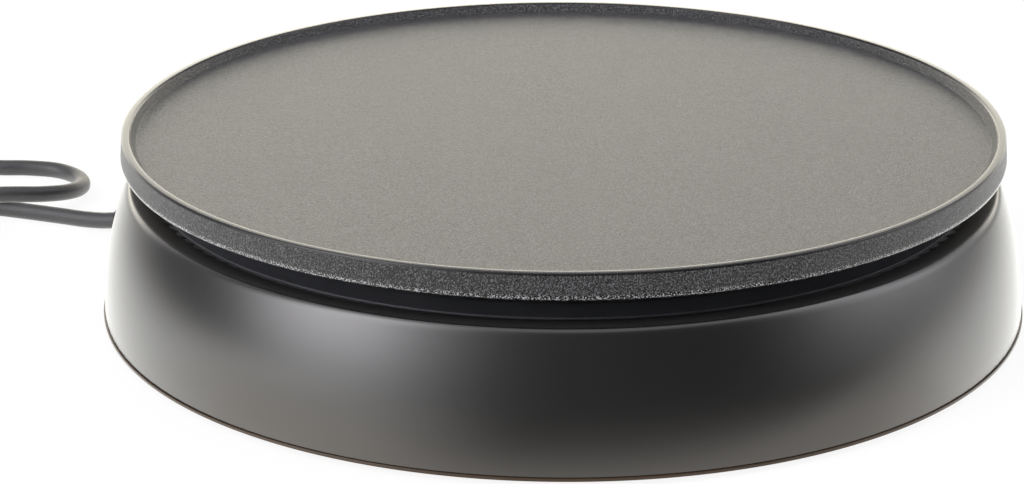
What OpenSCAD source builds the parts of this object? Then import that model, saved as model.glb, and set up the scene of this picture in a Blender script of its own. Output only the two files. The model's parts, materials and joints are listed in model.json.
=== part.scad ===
// Electric crepe maker: a round cast griddle plate on a flared plastic base.
// The origin is on the table under the middle of the base; +Z is up, and the control panel faces +Y.

/* [Griddle plate] */
// Diameter of the plate over the top of its lip
plate_d = 330; // [322:1:334]
// Thickness of the plate's flat floor
plate_t = 4.6; // [4:0.1:6]
// Height of the lip above the floor
lip_h = 3.2; // [2:0.2:4]
// Width of the lip's flat top
lip_w = 2.4; // [2:0.2:4]
// Width of the slope from the lip down to the floor
lip_slope = 2.3; // [1.5:0.1:4]
// Height of the plate's outer edge, from the lip's top to its lower rim
skirt_h = 9.5; // [9:0.1:11]
// How far the outer edge flares outwards at its lower rim
skirt_flare = 0.6; // [0:0.1:1.2]
// Wall thickness of the outer edge
skirt_t = 4.4; // [3.5:0.1:5]

/* [Heating element] */
// Distance from the plate's edge in to the middle of the element's tube
element_inset = 65; // [63:0.5:70]
// Diameter of the element's sheathed tube
element_tube_d = 8; // [6.5:0.1:8.5]
// Depth of the cast ridge that the element is pressed into
ridge_h = 5; // [4.5:0.1:5.5]
// Half the angle left open between the element's two ends
element_gap = 12; // [11:0.5:14]

/* [Base] */
// How far the shell's lower edge stands out past the plate
base_flare = 9.2; // [8:0.1:13]
// Height of the shell, from its lower edge to its ledge
base_h = 46.9; // [45:0.1:52]
// Height of the rim that stands round the ledge
rim_h = 1.4; // [0.8:0.1:1.8]
// Thickness of the shell's walls
wall_t = 2.6; // [2:0.1:3.2]
// Radius of the wall's upright curve
wall_curve_r = 116; // [105:1:140]
// Length of the bevel round the rim's outer edge
rim_bevel = 1.8; // [1.2:0.1:2.4]
// Depth by which the flat control panel is cut into the round base
panel_inset = 17.2; // [15:0.2:18]
// Height of the raised ring that the heat shield rests on
seat_h = 0.6; // [0.4:0.1:1.2]
// Number of stiffening ribs under the ledge
rib_count = 24; // [12:1:36]

/* [Heat shield] */
// How far the plate reaches out past the shield
shield_overhang = 11; // [10:0.5:13]
// Width of the shield's flange and sloping wall together
shield_rim_w = 33; // [32:0.5:35]
// Depth from the flange to the floor
shield_depth = 8.2; // [7:0.1:9]
// Thickness of the sheet
shield_t = 0.8; // [0.6:0.1:1.2]
// Height of the stiffening bead pressed into the flange
bead_h = 1.5; // [1:0.1:2]

/* [Stack] */
// Height of the feet below the bottom cover
foot_h = 2; // [1.6:0.1:4]
// Thickness of the bottom cover
cover_t = 2; // [1.8:0.1:2.6]
// Height of the cover's rim below the shell
cover_rim_h = 1.4; // [1:0.1:1.6]
// How far the cover's rim stands out past the shell
cover_rim_out = 0.6; // [0:0.1:1]
// Open height between the base's rim and the plate's lower rim
neck_gap = 10.2; // [9.2:0.1:13]

/* [Feet and cover] */
// Diameter of a rubber foot
foot_d = 20; // [16:1:24]
// Distance from the base's outside in to the middle of a foot
foot_inset = 24.2; // [22:0.2:34]
// Number of cooling slots in the bottom cover
slot_count = 24; // [16:1:28]
// Length of a cooling slot
slot_len = 20; // [14:1:24]
// Width of a cooling slot
slot_w = 3.2; // [2.4:0.1:4]

/* [Control] */
// Diameter of the knob's skirt
knob_d = 38; // [34:1:40]
// Diameter of the knob's grip at its base
grip_d = 30; // [26:1:32]
// Height of the knob's axis above the table
knob_z = 25; // [24:0.5:26]
// Number of flutes round the grip
flute_count = 18; // [12:1:20]
// Diameter of the thermostat's shaft
shaft_d = 6; // [5:0.1:6.4]
// Distance between the thermostat's fixing screws
thermostat_pitch = 28; // [27:0.5:29]
// Diameter of the pilot lamp's lens
lamp_d = 8.8; // [7:0.1:10]
// Distance from the knob's axis to the pilot lamp
lamp_offset = 38; // [34:1:44]

/* [Supply] */
// Diameter of the mains lead
cord_d = 6.7; // [6:0.1:7.4]
// Direction in which the lead leaves the base, from +X towards +Y
cord_angle = 158.2; // [156:0.1:160]
// Height of the lead's axis where it passes through the wall
cord_z = 10; // [9.8:0.1:11]
// Length of the tapered strain relief outside the wall
relief_len = 19; // [17:0.5:24]

/* [Hidden] */
$fn = 96;
round_fn = 180;
sheet_gap = 0.2;
fit_gap = 0.1;
run_gap = 0.05;
far = 400;

// Levels above the table
cover_z = foot_h;
shell_z = cover_z + cover_rim_h;
ledge_z = shell_z + base_h;
rim_z = ledge_z + rim_h;
seat_z = ledge_z + seat_h;
skirt_z = rim_z + neck_gap;
top_z = skirt_z + skirt_h;
floor_z = top_z - lip_h;
under_z = floor_z - plate_t;
shield_z = seat_z + shield_t;
shield_floor_z = shield_z - shield_depth;
cover_in_z = cover_z + cover_t;

// Radii of the plate
plate_r = plate_d / 2;
skirt_r = plate_r + skirt_flare;
edge_round = 0.6;
foot_fillet = 0.8;
dish_r = plate_r - edge_round - lip_w - lip_slope;

// Radii of the base
base_r = plate_r + base_flare;
panel_dist = base_r - panel_inset;
foot_circle_r = base_r - foot_inset;
curve_x = base_r - wall_curve_r;
wall_in_r = base_r - wall_t;
shield_r = plate_r - shield_overhang;
shield_floor_r = shield_r - shield_rim_w;
shield_wall_run = shield_depth + 0.3;
shield_wall_r = shield_floor_r + shield_wall_run;
ledge_in_r = shield_wall_r + 1.5;
shield_screw_r = ledge_in_r + 5;
shield_screw_count = 6;
rim_in_r = shield_r + 2.5;
rim_t = 1.2;
rim_ease = 1;
rim_round = 0.4;
pan_head_r = 3.6;
pan_head_h = 2.2;
pan_shank_r = 1.9;
shield_screw_len = 11;
shield_boss_r = 4.2;
shield_boss_h = 12;
earth_screw_len = 8;
seat_w = 3.6;
seat_out_r = shield_r - 1;
bead_r = seat_out_r - seat_w - 4.6;
bead_w = 8;
panel_in = panel_dist - wall_t;
steps = 14;

// Element and what holds it
element_r = plate_r - element_inset;
tube_r = element_tube_d / 2;
ridge_w = 2 * (tube_r + 4);
element_z = under_z - ridge_h + 0.8;
element_low = element_z - tube_r;
elbow_r = 9;
leg_low = shield_floor_z - 4;
bead_low = leg_low - 4;
pin_low = bead_low - 5;
tab_low = pin_low - 7;
clip_t = 1;
clip_w = 10;
clip_angles = [30, 150, 210, 330];
clip_screw_r = element_r - ridge_w / 2 - 6;
clip_boss_low = element_low - sheet_gap;
clip_hole_r = 1.9;
clip_head_r = 3.4;
clip_head_h = 2;
clip_screw_len = 6.5;
strap_screw_len = 5.5;

// Studs that carry the plate on the heat shield
stud_count = 4;
stud_r = 2.5;
stud_circle_r = element_r + ridge_w / 2 + 4;
stud_boss_r = 7;
stud_boss_h = 7.6;
stud_boss_low = under_z - stud_boss_h;
spacer_r = 5;
nut_across = 8;
nut_h = 4;
washer_r = 6;
washer_t = 1;
stud_low = shield_floor_z - shield_t - washer_t - nut_h - 3;

// Temperature sensor and cut-out, both strapped under the plate
bulb_r = 3;
bulb_len = 60;
bulb_y = 42;
cutout_r = 2.6;
cutout_len = 16;
cutout_y = -42;
strap_screw_off = 13;
strap_w = 10;

// Control panel
knob_gap = 0.6;
knob_face = base_r + cover_rim_out;
skirt_thick = 3.2;
bush_r = 4.9;
bush_out = 1.4;
body_w = 34;
body_h = 30;
body_depth = 24;
bracket_t = 1;
bracket_w = 42;
bracket_h = 22;
shaft_r = shaft_d / 2;
flat_head_r = 3.2;
flat_head_h = 1.2;
nut_depth = 4;
body_y = panel_in - bracket_t;
bore_y = body_y - 8;
shaft_end = knob_face - 3;
flat_cut = shaft_r * 0.62;
lamp_r = lamp_d / 2;

// Mains entry: the lead, its relief, clamp and terminal block
cord_r = cord_d / 2;
relief_r = 5.2;
collar_r = 5.8;
collar_t = 1.5;
relief_tilt = 14.5;
relief_tip_r = cord_r + 0.9;
clamp_r = base_r - 24.2;
clamp_half = cord_r + 5.2;
clamp_low = cord_z - cord_r - fit_gap;
clamp_bar_t = 2.3;
clamp_w = 10;
post_r = 3.4;
small_head_r = 2.6;
small_head_h = 1.8;
clamp_head_h = 1.2;
small_shank_r = 1.2;
block_screw_len = 16;
clamp_screw_len = 12;
pilot_depth = 12;
relief_in_r = wall_in_r - 3;
tail_in_r = clamp_r - 16;
block_angle = 132;
block_r = ledge_in_r + 11;
block_len = 38;
block_w = 18;
block_h = 12;
block_z = 24;
pole_pitch = 8.5;
block_post = 15;

// Bottom cover and its screws
cover_screw_count = 6;
cover_screw_r = wall_in_r - 8.6;
cover_boss_r = 4.2;
cover_head_r = 3.5;
cover_head_h = 1.8;
cover_shank_r = 1.5;
cover_screw_len = 13;
cover_boss_top = shell_z + 19;
spigot_gap = 0.4;
spigot_t = 2;
spigot_h = 3;
slot_mid_r = 66;

// The mains lead's free length: it crosses over itself once and ends in a coil
lead_points = [
  [-180, 72, 5.1], [-187, 74.8, 3.9], [-195, 78, 3.4], [-205, 82, 3.4],
  [-218, 87, 3.4], [-231, 91.6, 3.4], [-245, 95.5, 3.4], [-259, 97, 3.4],
  [-275, 97, 3.4], [-288.5, 100.6, 3.4], [-298.4, 110.5, 3.4], [-302, 124, 3.4],
  [-298.4, 137.5, 3.4], [-288.5, 147.4, 3.4], [-275, 151, 3.4], [-262, 149.6, 3.4],
  [-250, 146.4, 3.4], [-240, 144, 3.4], [-228, 143.5, 3.4], [-214.5, 139.9, 3.4],
  [-204.6, 130, 3.6], [-201, 116.5, 4.4], [-204.6, 103, 6.6], [-214.5, 93.1, 9],
  [-228, 89.5, 10.2], [-240, 89, 9.5], [-252, 87.5, 7.2], [-264, 85.4, 4.5],
  [-276, 84.4, 3.4]
];
tail_points = [
  [-313, 44, 9.2], [-313, 28, 10.2], [-313.5, 14, 8.4], [-314.5, 0, 5.4],
  [-315.5, -12, 3.7], [-316, -22, 4.14], [-316, -24, 4.6]
];
coil_at = [-276, 44, 0];
coil_r = 37;
coil_band = cord_d;
coil_top = 12.6;
plug_end = [-316, -24, 4.6];
plug_tilt = 13;
plug_r = 18.5;
plug_len = 36;
sleeve_len = 24;
plug_pin_r = 2.4;
plug_pin_len = 19;
plug_pin_pitch = 19;
tube_sides = 10;
wire_sides = 8;
wire_d = 2.3;

plastic_black = "#1b1b1d";
cast_grey = "#5b5a58";
steel = "#9a9c9e";
dark_steel = "#2a2b2d";
brass = "#b59a55";
ceramic = "#d8d2c4";
rubber = "#151515";

// ---------------------------------------------------------------- helpers

function polar(r, a, z) = [r * cos(a), r * sin(a), z];

function arc(c, r, a0, a1, n) = [
  for (i = [0 : n]) let (a = a0 + (a1 - a0) * i / n) [c[0] + r * cos(a), c[1] + r * sin(a)]
];

function unit(v) = v / norm(v);
function left_of(v) = [-v[1], v[0]];
function joint_normal(p, i) =
  let (
    a = i > 0 ? left_of(unit(p[i] - p[i - 1])) : left_of(unit(p[1] - p[0])),
    b = i < len(p) - 1 ? left_of(unit(p[i + 1] - p[i])) : a
  ) (a + b) / (1 + a * b);

// A sheet's section: the line p, thickened by t on its right-hand side
function sheet_section(p, t) = concat(
  p,
  [for (i = [len(p) - 1 : -1 : 0]) p[i] - t * joint_normal(p, i)]
);

module around(n, r, a0 = 0) {
  for (i = [0 : n - 1]) rotate(a0 + 360 * i / n) translate([r, 0, 0]) children();
}

module at_polar(r, a, z) {
  rotate(a) translate([r, 0, z]) children();
}

// Turns a piece's own +Z to point out of the control panel
module on_panel(x, y) {
  translate([x, y, knob_z]) rotate([-90, 0, 0]) children();
}

module behind_panel(limit) {
  translate([-far, -far, -far]) cube([2 * far, far + limit, 2 * far]);
}

module screw(head_r, head_h, shank_r, length) {
  cylinder(r = shank_r, h = length);
  difference() {
    translate([0, 0, -head_h]) cylinder(r = head_r, h = head_h);
    for (a = [0, 90])
      rotate(a) translate([-head_r * 0.6, -0.4, -head_h - 1]) cube([head_r * 1.2, 0.8, 1.8]);
  }
}

// A path from a to b: each row of bends is a share of the way, and how far the path lies off the
// straight line there
function route(a, b, bends) = concat(
  [a],
  [for (p = bends) a + p[0] * (b - a) + [p[1], p[2], p[3]]],
  [b]
);

// A round tube swept along the points p, with its section carried from ring to ring
function tangent(p, i) = unit(p[min(i + 1, len(p) - 1)] - p[max(i - 1, 0)]);
function carry(n, t) = unit(n - (n * t) * t);
function ring_normals(p, i, n) =
  i == len(p) ? [] : let (m = carry(n, tangent(p, i))) concat([m], ring_normals(p, i + 1, m));

module tube(p, d, sides, first = [0, 0, 1]) {
  normals = ring_normals(p, 0, first);
  last = len(p) - 1;
  points = [
    for (i = [0 : last], k = [0 : sides - 1])
      let (n = normals[i], s = cross(tangent(p, i), n), a = 360 * k / sides)
        p[i] + d / 2 * (cos(a) * n + sin(a) * s)
  ];
  walls = [
    for (i = [0 : last - 1], k = [0 : sides - 1])
      let (a = i * sides + k, b = i * sides + (k + 1) % sides) [a, b, b + sides, a + sides]
  ];
  ends = [
    [for (k = [sides - 1 : -1 : 0]) k],
    [for (k = [0 : sides - 1]) last * sides + k]
  ];
  polyhedron(points = points, faces = concat(walls, ends), convexity = 6);
}

// ---------------------------------------------------------------- griddle plate

plate_section = concat(
  [[0, under_z], [0, floor_z]],
  arc([dish_r - foot_fillet, floor_z + foot_fillet], foot_fillet, -90, -45, 4),
  [[dish_r + lip_slope, top_z]],
  arc([plate_r - edge_round, top_z - edge_round], edge_round, 90, 0, 4),
  [
    [skirt_r, skirt_z + edge_round],
    [skirt_r - edge_round, skirt_z],
    [skirt_r - skirt_t + 0.6, skirt_z],
    [skirt_r - skirt_t - 0.4, under_z]
  ]
);

module element_ridge() {
  difference() {
    rotate_extrude($fn = round_fn)
      translate([element_r - ridge_w / 2, under_z - ridge_h]) square([ridge_w, ridge_h + 1]);
    // Open at the back, where the element's ends turn down
    translate([-element_r * sin(element_gap) - 3, element_r - ridge_w, under_z - ridge_h - 1])
      cube([2 * element_r * sin(element_gap) + 6, 2 * ridge_w, ridge_h + 1]);
  }
}

module cast_ribs() {
  inner_r = bulb_y + 24;
  rib_w = 3;
  rib_h = 3;
  for (a = [22.5 : 45 : 360]) rotate(a) {
    translate([inner_r - 1, -rib_w / 2, under_z - rib_h])
      cube([element_r - ridge_w / 2 - inner_r + 2, rib_w, rib_h + 1]);
    translate([element_r + ridge_w / 2 - 1, -rib_w / 2, under_z - rib_h])
      cube([skirt_r - skirt_t - element_r - ridge_w / 2, rib_w, rib_h + 1]);
  }
  rotate_extrude() translate([inner_r - rib_w, under_z - rib_h]) square([rib_w, rib_h + 1]);
}

module plate_boss(r, low) {
  translate([0, 0, low]) cylinder(r = r, h = under_z - low + 1);
}

strap_boss_low = under_z - sheet_gap - 2 * bulb_r;
cutout_boss_low = under_z - sheet_gap - 2 * cutout_r;

module griddle_plate() {
  color(cast_grey) difference() {
    union() {
      rotate_extrude($fn = round_fn) polygon(plate_section);
      element_ridge();
      cast_ribs();
      around(stud_count, stud_circle_r, 45) plate_boss(stud_boss_r, stud_boss_low);
      for (a = clip_angles) at_polar(clip_screw_r, a, 0) plate_boss(clip_w / 2, clip_boss_low);
      translate([0, bulb_y + strap_screw_off, 0]) plate_boss(strap_w / 2, strap_boss_low);
      translate([0, cutout_y - strap_screw_off, 0]) plate_boss(strap_w / 2, cutout_boss_low);
    }
    rotate_extrude($fn = round_fn) {
      translate([element_r, element_z]) circle(r = tube_r + sheet_gap);
      translate([element_r - tube_r - sheet_gap, element_z - ridge_h])
        square([2 * (tube_r + sheet_gap), ridge_h]);
    }
    around(stud_count, stud_circle_r, 45)
      translate([0, 0, stud_boss_low - 1]) cylinder(r = stud_r, h = 7.5);
    for (a = clip_angles)
      at_polar(clip_screw_r, a, clip_boss_low - 1) cylinder(r = clip_hole_r, h = 7);
    translate([0, bulb_y + strap_screw_off, strap_boss_low - 1]) cylinder(r = clip_hole_r, h = 6);
    translate([0, cutout_y - strap_screw_off, cutout_boss_low - 1])
      cylinder(r = clip_hole_r, h = 6);
  }
}

// ---------------------------------------------------------------- heating element

// Puts a piece at each of the element's two ends: -Y there points on from the ring into the gap
module at_element_ends() {
  module one_end() rotate(90 + element_gap) translate([element_r, 0, element_z]) children();
  one_end() children();
  mirror([1, 0, 0]) one_end() children();
}

// Each end leaves the ring, bends down and passes through the heat shield
module element_end() {
  translate([0, 0, -elbow_r]) rotate([180, 0, 0]) rotate([0, 90, 0])
    rotate_extrude(angle = 90) translate([elbow_r, 0]) circle(r = tube_r, $fn = 48);
  translate([0, -elbow_r, leg_low - element_z])
    cylinder(r = tube_r, h = element_z - elbow_r - leg_low, $fn = 48);
}

module heating_element() {
  color(dark_steel) {
    rotate(90 + element_gap) rotate_extrude(angle = 360 - 2 * element_gap, $fn = round_fn)
      translate([element_r, element_z]) circle(r = tube_r, $fn = 48);
    at_element_ends() element_end();
  }
}

module element_terminals() {
  color(ceramic) at_element_ends() translate([0, -elbow_r, 0]) {
    translate([0, 0, bead_low - element_z])
      cylinder(r1 = tube_r - 1.2, r2 = tube_r - 0.4, h = leg_low - bead_low);
    translate([0, 0, pin_low - element_z]) cylinder(r = 1.5, h = bead_low - pin_low);
    translate([-3.15, -0.4, tab_low - element_z]) cube([6.3, 0.8, pin_low - tab_low]);
  }
}

module element_clips() {
  reach = element_r + tube_r - clip_screw_r;
  color(steel) for (a = clip_angles) at_polar(clip_screw_r, a, clip_boss_low - clip_t)
    difference() {
      translate([-clip_w / 2, -clip_w / 2, 0]) cube([reach + clip_w / 2, clip_w, clip_t]);
      translate([0, 0, -1]) cylinder(r = clip_hole_r + fit_gap, h = clip_t + 2);
    }
}

module clip_screws() {
  color(steel) {
    for (a = clip_angles) at_polar(clip_screw_r, a, clip_boss_low - clip_t)
      screw(clip_head_r, clip_head_h, clip_hole_r, clip_screw_len);
    translate([0, bulb_y + strap_screw_off, strap_boss_low - clip_t])
      screw(clip_head_r, clip_head_h, clip_hole_r, strap_screw_len);
    translate([0, cutout_y - strap_screw_off, cutout_boss_low - clip_t])
      screw(clip_head_r, clip_head_h, clip_hole_r, strap_screw_len);
  }
}

// ---------------------------------------------------------------- studs

module plate_studs() {
  color(steel) around(stud_count, stud_circle_r, 45)
    translate([0, 0, stud_low]) cylinder(r = stud_r, h = stud_boss_low + 6 - stud_low);
}

module stud_spacers() {
  color(steel) around(stud_count, stud_circle_r, 45) translate([0, 0, shield_floor_z])
    difference() {
      cylinder(r = spacer_r, h = stud_boss_low - shield_floor_z);
      translate([0, 0, -1]) cylinder(r = stud_r + fit_gap, h = stud_boss_low - shield_floor_z + 2);
    }
}

module stud_nuts() {
  washer_z = shield_floor_z - shield_t - washer_t;
  color(steel) around(stud_count, stud_circle_r, 45) difference() {
    union() {
      translate([0, 0, washer_z]) cylinder(r = washer_r, h = washer_t);
      translate([0, 0, washer_z - nut_h]) cylinder(d = nut_across / cos(30), h = nut_h, $fn = 6);
    }
    translate([0, 0, washer_z - nut_h - 1]) cylinder(r = stud_r + fit_gap, h = nut_h + washer_t + 2);
  }
}

// ---------------------------------------------------------------- heat shield

shield_line = [
  [0, shield_floor_z],
  [shield_floor_r, shield_floor_z],
  [shield_wall_r, shield_z],
  [bead_r - bead_w / 2, shield_z],
  [bead_r - bead_w / 6, shield_z + bead_h],
  [bead_r + bead_w / 6, shield_z + bead_h],
  [bead_r + bead_w / 2, shield_z],
  [shield_r, shield_z]
];
leg_x = element_r * sin(element_gap) - elbow_r * cos(element_gap);
leg_y = element_r * cos(element_gap) + elbow_r * sin(element_gap);
capillary_hole = [bulb_len / 2 + 10, bulb_y + 30];
cutout_hole = cutout_len / 2 + 18;
earth_r = shield_floor_r - 25;
tag_t = 0.8;
tag_end = earth_r + 12;
tag_z = shield_floor_z - shield_t - tag_t;
earth_angle = 120;
earth_at = polar(earth_r, earth_angle, 0);

module heat_shield() {
  color(dark_steel) difference() {
    rotate_extrude($fn = round_fn) polygon(sheet_section(shield_line, shield_t));
    around(shield_screw_count, shield_screw_r)
      translate([0, 0, ledge_z]) cylinder(r = 2.1, h = 2 * seat_h + 4);
    translate([0, 0, shield_floor_z - 3]) {
      around(stud_count, stud_circle_r, 45) cylinder(r = stud_r + 0.3, h = 6);
      for (side = [-1, 1]) translate([side * leg_x, leg_y, 0]) cylinder(r = tube_r + 1.5, h = 6);
      for (side = [-1, 1]) translate([side * cutout_hole, cutout_y, 0]) cylinder(r = 3.5, h = 6);
      translate(capillary_hole) cylinder(r = 3, h = 6);
      translate(earth_at) cylinder(r = 2.1, h = 6);
    }
  }
}

module shield_screws() {
  color(steel) around(shield_screw_count, shield_screw_r)
    translate([0, 0, shield_z]) mirror([0, 0, 1]) 
      screw(pan_head_r, pan_head_h, pan_shank_r, shield_screw_len);
}

// ---------------------------------------------------------------- base shell

// Outline of the shell's wall: it stands upright at its lower edge and leans in as it rises, up to
// the bevel round the rim, which has its two edges rounded
function outer_line() =
  let (
    slant = sin(45),
    rise = rim_z - rim_round - (rim_ease + rim_bevel - rim_round) * slant - shell_z,
    lean = asin(rise / (wall_curve_r - rim_ease)),
    x = curve_x + (wall_curve_r - rim_ease) * cos(lean),
    in = (rim_ease - rim_bevel - rim_round) * slant
  ) concat(
    arc([curve_x, shell_z], wall_curve_r, 0, lean, steps),
    arc([x, shell_z + rise], rim_ease, lean, 45, 4),
    arc([x + in, rim_z - rim_round], rim_round, 45, 90, 4)
  );

// The same wall's inside, t in from the outside, which ends under the ledge
function inner_line(t) =
  let (
    big = wall_curve_r - t,
    rise = ledge_z - t - rim_ease - shell_z,
    lean = asin(rise / (big - rim_ease)),
    x = curve_x + (big - rim_ease) * cos(lean)
  ) concat(
    arc([curve_x, shell_z], big, 0, lean, steps),
    arc([x, shell_z + rise], rim_ease, lean, 90, 8)
  );

// The body inside that outline, down to drop below the shell's lower edge
module wall_solid(t, drop = 0) {
  intersection() {
    rotate_extrude($fn = round_fn)
      polygon(concat(
        [[0, shell_z - drop], [base_r - t, shell_z - drop]],
        t > 0 ? inner_line(t) : outer_line(),
        [[0, t > 0 ? ledge_z - t : rim_z]]
      ));
    behind_panel(panel_dist - t);
  }
}

module shell_ribs() {
  rib_t = 1.8;
  rib_in_r = clamp_r + 6;
  intersection() {
    difference() {
      rotate_extrude($fn = round_fn) polygon([
        [rib_in_r, ledge_z - wall_t / 2],
        [base_r, ledge_z - wall_t / 2],
        [base_r, ledge_z - base_h * 0.4]
      ]);
      on_panel(0, panel_in - far) cylinder(r = bracket_w / 2 + 3, h = far);
      on_panel(lamp_offset, panel_in - far) cylinder(r = lamp_r + 6, h = far);
    }
    for (i = [0 : rib_count - 1]) rotate(360 * (i + 0.5) / rib_count)
      translate([0, -rib_t / 2, 0]) cube([base_r, rib_t, ledge_z]);
    wall_solid(wall_t / 2);
  }
}

module hanging_post(r, low) {
  translate([0, 0, low]) cylinder(r = r, h = ledge_z - wall_t / 2 - low);
}

module pilot_hole(low) {
  translate([0, 0, low - 1]) cylinder(r = small_shank_r, h = pilot_depth + 1);
}

module clamp_spots() {
  rotate(cord_angle) for (side = [-1, 1]) translate([clamp_r, side * clamp_half, 0]) children();
}

module block_spots() {
  rotate(block_angle) for (side = [-1, 1]) translate([block_r, side * block_post, 0]) children();
}

// The heat shield's flange lies in this shallow recess, level with the rim round it
module flange_recess() {
  intersection() {
    translate([0, 0, ledge_z]) cylinder(r = rim_in_r, h = 2 * rim_h, $fn = round_fn);
    behind_panel(panel_dist - rim_t);
  }
}

module shell_skin() {
  difference() {
    union() {
      difference() {
        wall_solid(0);
        flange_recess();
      }
      translate([0, 0, ledge_z - 0.5]) {
        rotate_extrude($fn = round_fn)
          translate([seat_out_r - seat_w, 0]) square([seat_w, seat_h + 0.5]);
        around(shield_screw_count, shield_screw_r) 
          cylinder(r = shield_boss_r + 0.3, h = seat_h + 0.5);
      }
    }
    wall_solid(wall_t, 1);
    translate([0, 0, shell_z]) cylinder(r = ledge_in_r, h = 2 * base_h, $fn = round_fn);
  }
}

module base_shell() {
  color(plastic_black) difference() {
    union() {
      shell_skin();
      shell_ribs();
      around(shield_screw_count, shield_screw_r)
        translate([0, 0, ledge_z - shield_boss_h])
          cylinder(r = shield_boss_r, h = shield_boss_h - wall_t / 2);
      cover_bosses();
      clamp_spots() hanging_post(post_r, clamp_low);
      block_spots() hanging_post(post_r, block_z + block_h);
      cord_saddle();
    }
    clamp_spots() pilot_hole(clamp_low);
    block_spots() pilot_hole(block_z + block_h);
    around(shield_screw_count, shield_screw_r)
      translate([0, 0, ledge_z - shield_boss_h + 1]) cylinder(r = pan_shank_r, h = 20);
    on_panel(0, panel_in - 1) cylinder(r = bush_r + 0.3, h = wall_t + 2);
    for (side = [-1, 1]) on_panel(side * thermostat_pitch / 2, panel_in - 1) {
      cylinder(r = 2, h = wall_t + 2);
      translate([0, 0, wall_t + 1 - flat_head_h]) cylinder(r = flat_head_r + fit_gap, h = 5);
    }
    on_panel(lamp_offset, panel_in - 1) cylinder(r = lamp_r + fit_gap, h = wall_t + 2);
    at_polar(wall_in_r - 8, cord_angle, cord_z) rotate([0, 90, 0])
      cylinder(r = relief_r + run_gap, h = 16);
  }
}

module cord_saddle() {
  rotate(cord_angle) translate([clamp_r - 2.5, -clamp_half, cord_z + cord_r + fit_gap])
    cube([5, 2 * clamp_half, 6]);
}

module cover_bosses() {
  around(cover_screw_count, cover_screw_r) difference() {
    union() {
      translate([0, 0, cover_in_z]) cylinder(r = cover_boss_r, h = cover_boss_top - cover_in_z);
      translate([0, -1, cover_in_z + spigot_h + 2])
        cube([wall_in_r - cover_screw_r + 0.6, 2, cover_boss_top - cover_in_z - spigot_h - 2]);
    }
    translate([0, 0, cover_in_z - 1]) cylinder(r = 1.5, h = 15);
  }
}

// ---------------------------------------------------------------- bottom cover

module slot_outline(length, width) {
  square([length - width, width], center = true);
  for (side = [-1, 1]) translate([side * (length - width) / 2, 0]) circle(d = width, $fn = 32);
}

module bottom_cover() {
  rim_r = base_r + cover_rim_out;
  spigot_r = wall_in_r - spigot_gap;
  color(plastic_black) difference() {
    union() {
      intersection() {
        union() {
          translate([0, 0, cover_z]) cylinder(r = rim_r, h = cover_rim_h, $fn = round_fn);
          translate([0, 0, cover_z]) cylinder(r = spigot_r, h = cover_t, $fn = round_fn);
        }
        behind_panel(panel_in - spigot_gap);
      }
      intersection() {
        translate([0, 0, cover_z]) cylinder(r = rim_r, h = cover_rim_h, $fn = round_fn);
        behind_panel(panel_dist + cover_rim_out);
      }
      intersection() {
        rotate_extrude($fn = round_fn)
          translate([spigot_r - spigot_t, cover_z + 0.5]) square([spigot_t, cover_rim_h + spigot_h - 0.5]);
        behind_panel(panel_in - spigot_gap);
      }
    }
    // Gaps in the locating ring for the lead and for the bosses' webs
    at_polar(spigot_r - spigot_t - 2, cord_angle, cover_in_z)
      translate([0, -collar_r - 2, 0]) cube([spigot_t + 6, 2 * collar_r + 4, 2 * spigot_h]);
    translate([0, 0, cover_z - 1]) linear_extrude(cover_t + 2)
      around(slot_count, slot_mid_r) slot_outline(slot_len, slot_w);
    translate([0, 0, cover_z - 1]) linear_extrude(cover_t + 2)
      around(slot_count / 2, slot_mid_r - slot_len * 1.3) slot_outline(slot_len, slot_w);
    around(cover_screw_count, cover_screw_r) translate([0, 0, cover_z - 1]) {
      cylinder(r = 1.7, h = cover_t + 2);
      cylinder(r = 3.8, h = 1 + cover_t / 2);
    }
    around(4, foot_circle_r, 45) translate([0, 0, cover_z - 1]) cylinder(r = 3.1, h = cover_t + 2);
  }
}

module cover_screws() {
  color(steel) around(cover_screw_count, cover_screw_r)
    translate([0, 0, cover_z + cover_t / 2]) 
      screw(cover_head_r, cover_head_h, cover_shank_r, cover_screw_len);
}

module rubber_feet() {
  color(rubber) around(4, foot_circle_r, 45) {
    cylinder(d1 = foot_d - 1, d2 = foot_d, h = foot_h);
    cylinder(r = 3, h = cover_in_z);
    translate([0, 0, cover_in_z]) cylinder(r1 = 3.8, r2 = 2.4, h = 3);
  }
}

// ---------------------------------------------------------------- control

module thermostat_body() {
  color(steel) difference() {
    union() {
      on_panel(0, body_y - body_depth)
        translate([-body_w / 2, -body_h / 2, 0]) cube([body_w, body_h, body_depth]);
      on_panel(0, body_y)
        translate([-bracket_w / 2, -bracket_h / 2, 0]) cube([bracket_w, bracket_h, bracket_t]);
      on_panel(0, body_y) cylinder(r = bush_r, h = panel_dist + bush_out - body_y);
      for (side = [-1, 1]) on_panel(side * tab_x, tab_end)
        translate([-0.4, -3.15, 0]) cube([0.8, 6.3, 9]);
    }
    on_panel(0, bore_y) cylinder(r = shaft_r + run_gap, h = far);
    for (side = [-1, 1])
      on_panel(side * thermostat_pitch / 2, body_y - 6) cylinder(r = pan_shank_r, h = 20);
  }
}

module thermostat_shaft() {
  color(brass) difference() {
    on_panel(0, bore_y + 0.3) cylinder(r = shaft_r, h = shaft_end - bore_y - 0.3);
    on_panel(0, panel_dist + bush_out + 1)
      translate([-shaft_r, -shaft_r - 1, 0]) cube([2 * shaft_r, 1 + shaft_r - flat_cut, far]);
  }
}

module thermostat_screws() {
  color(steel) for (side = [-1, 1])
    on_panel(side * thermostat_pitch / 2, panel_dist - flat_head_h) mirror([0, 0, 1])
      screw(flat_head_r, flat_head_h, pan_shank_r, wall_t + bracket_t + nut_depth);
}

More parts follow.
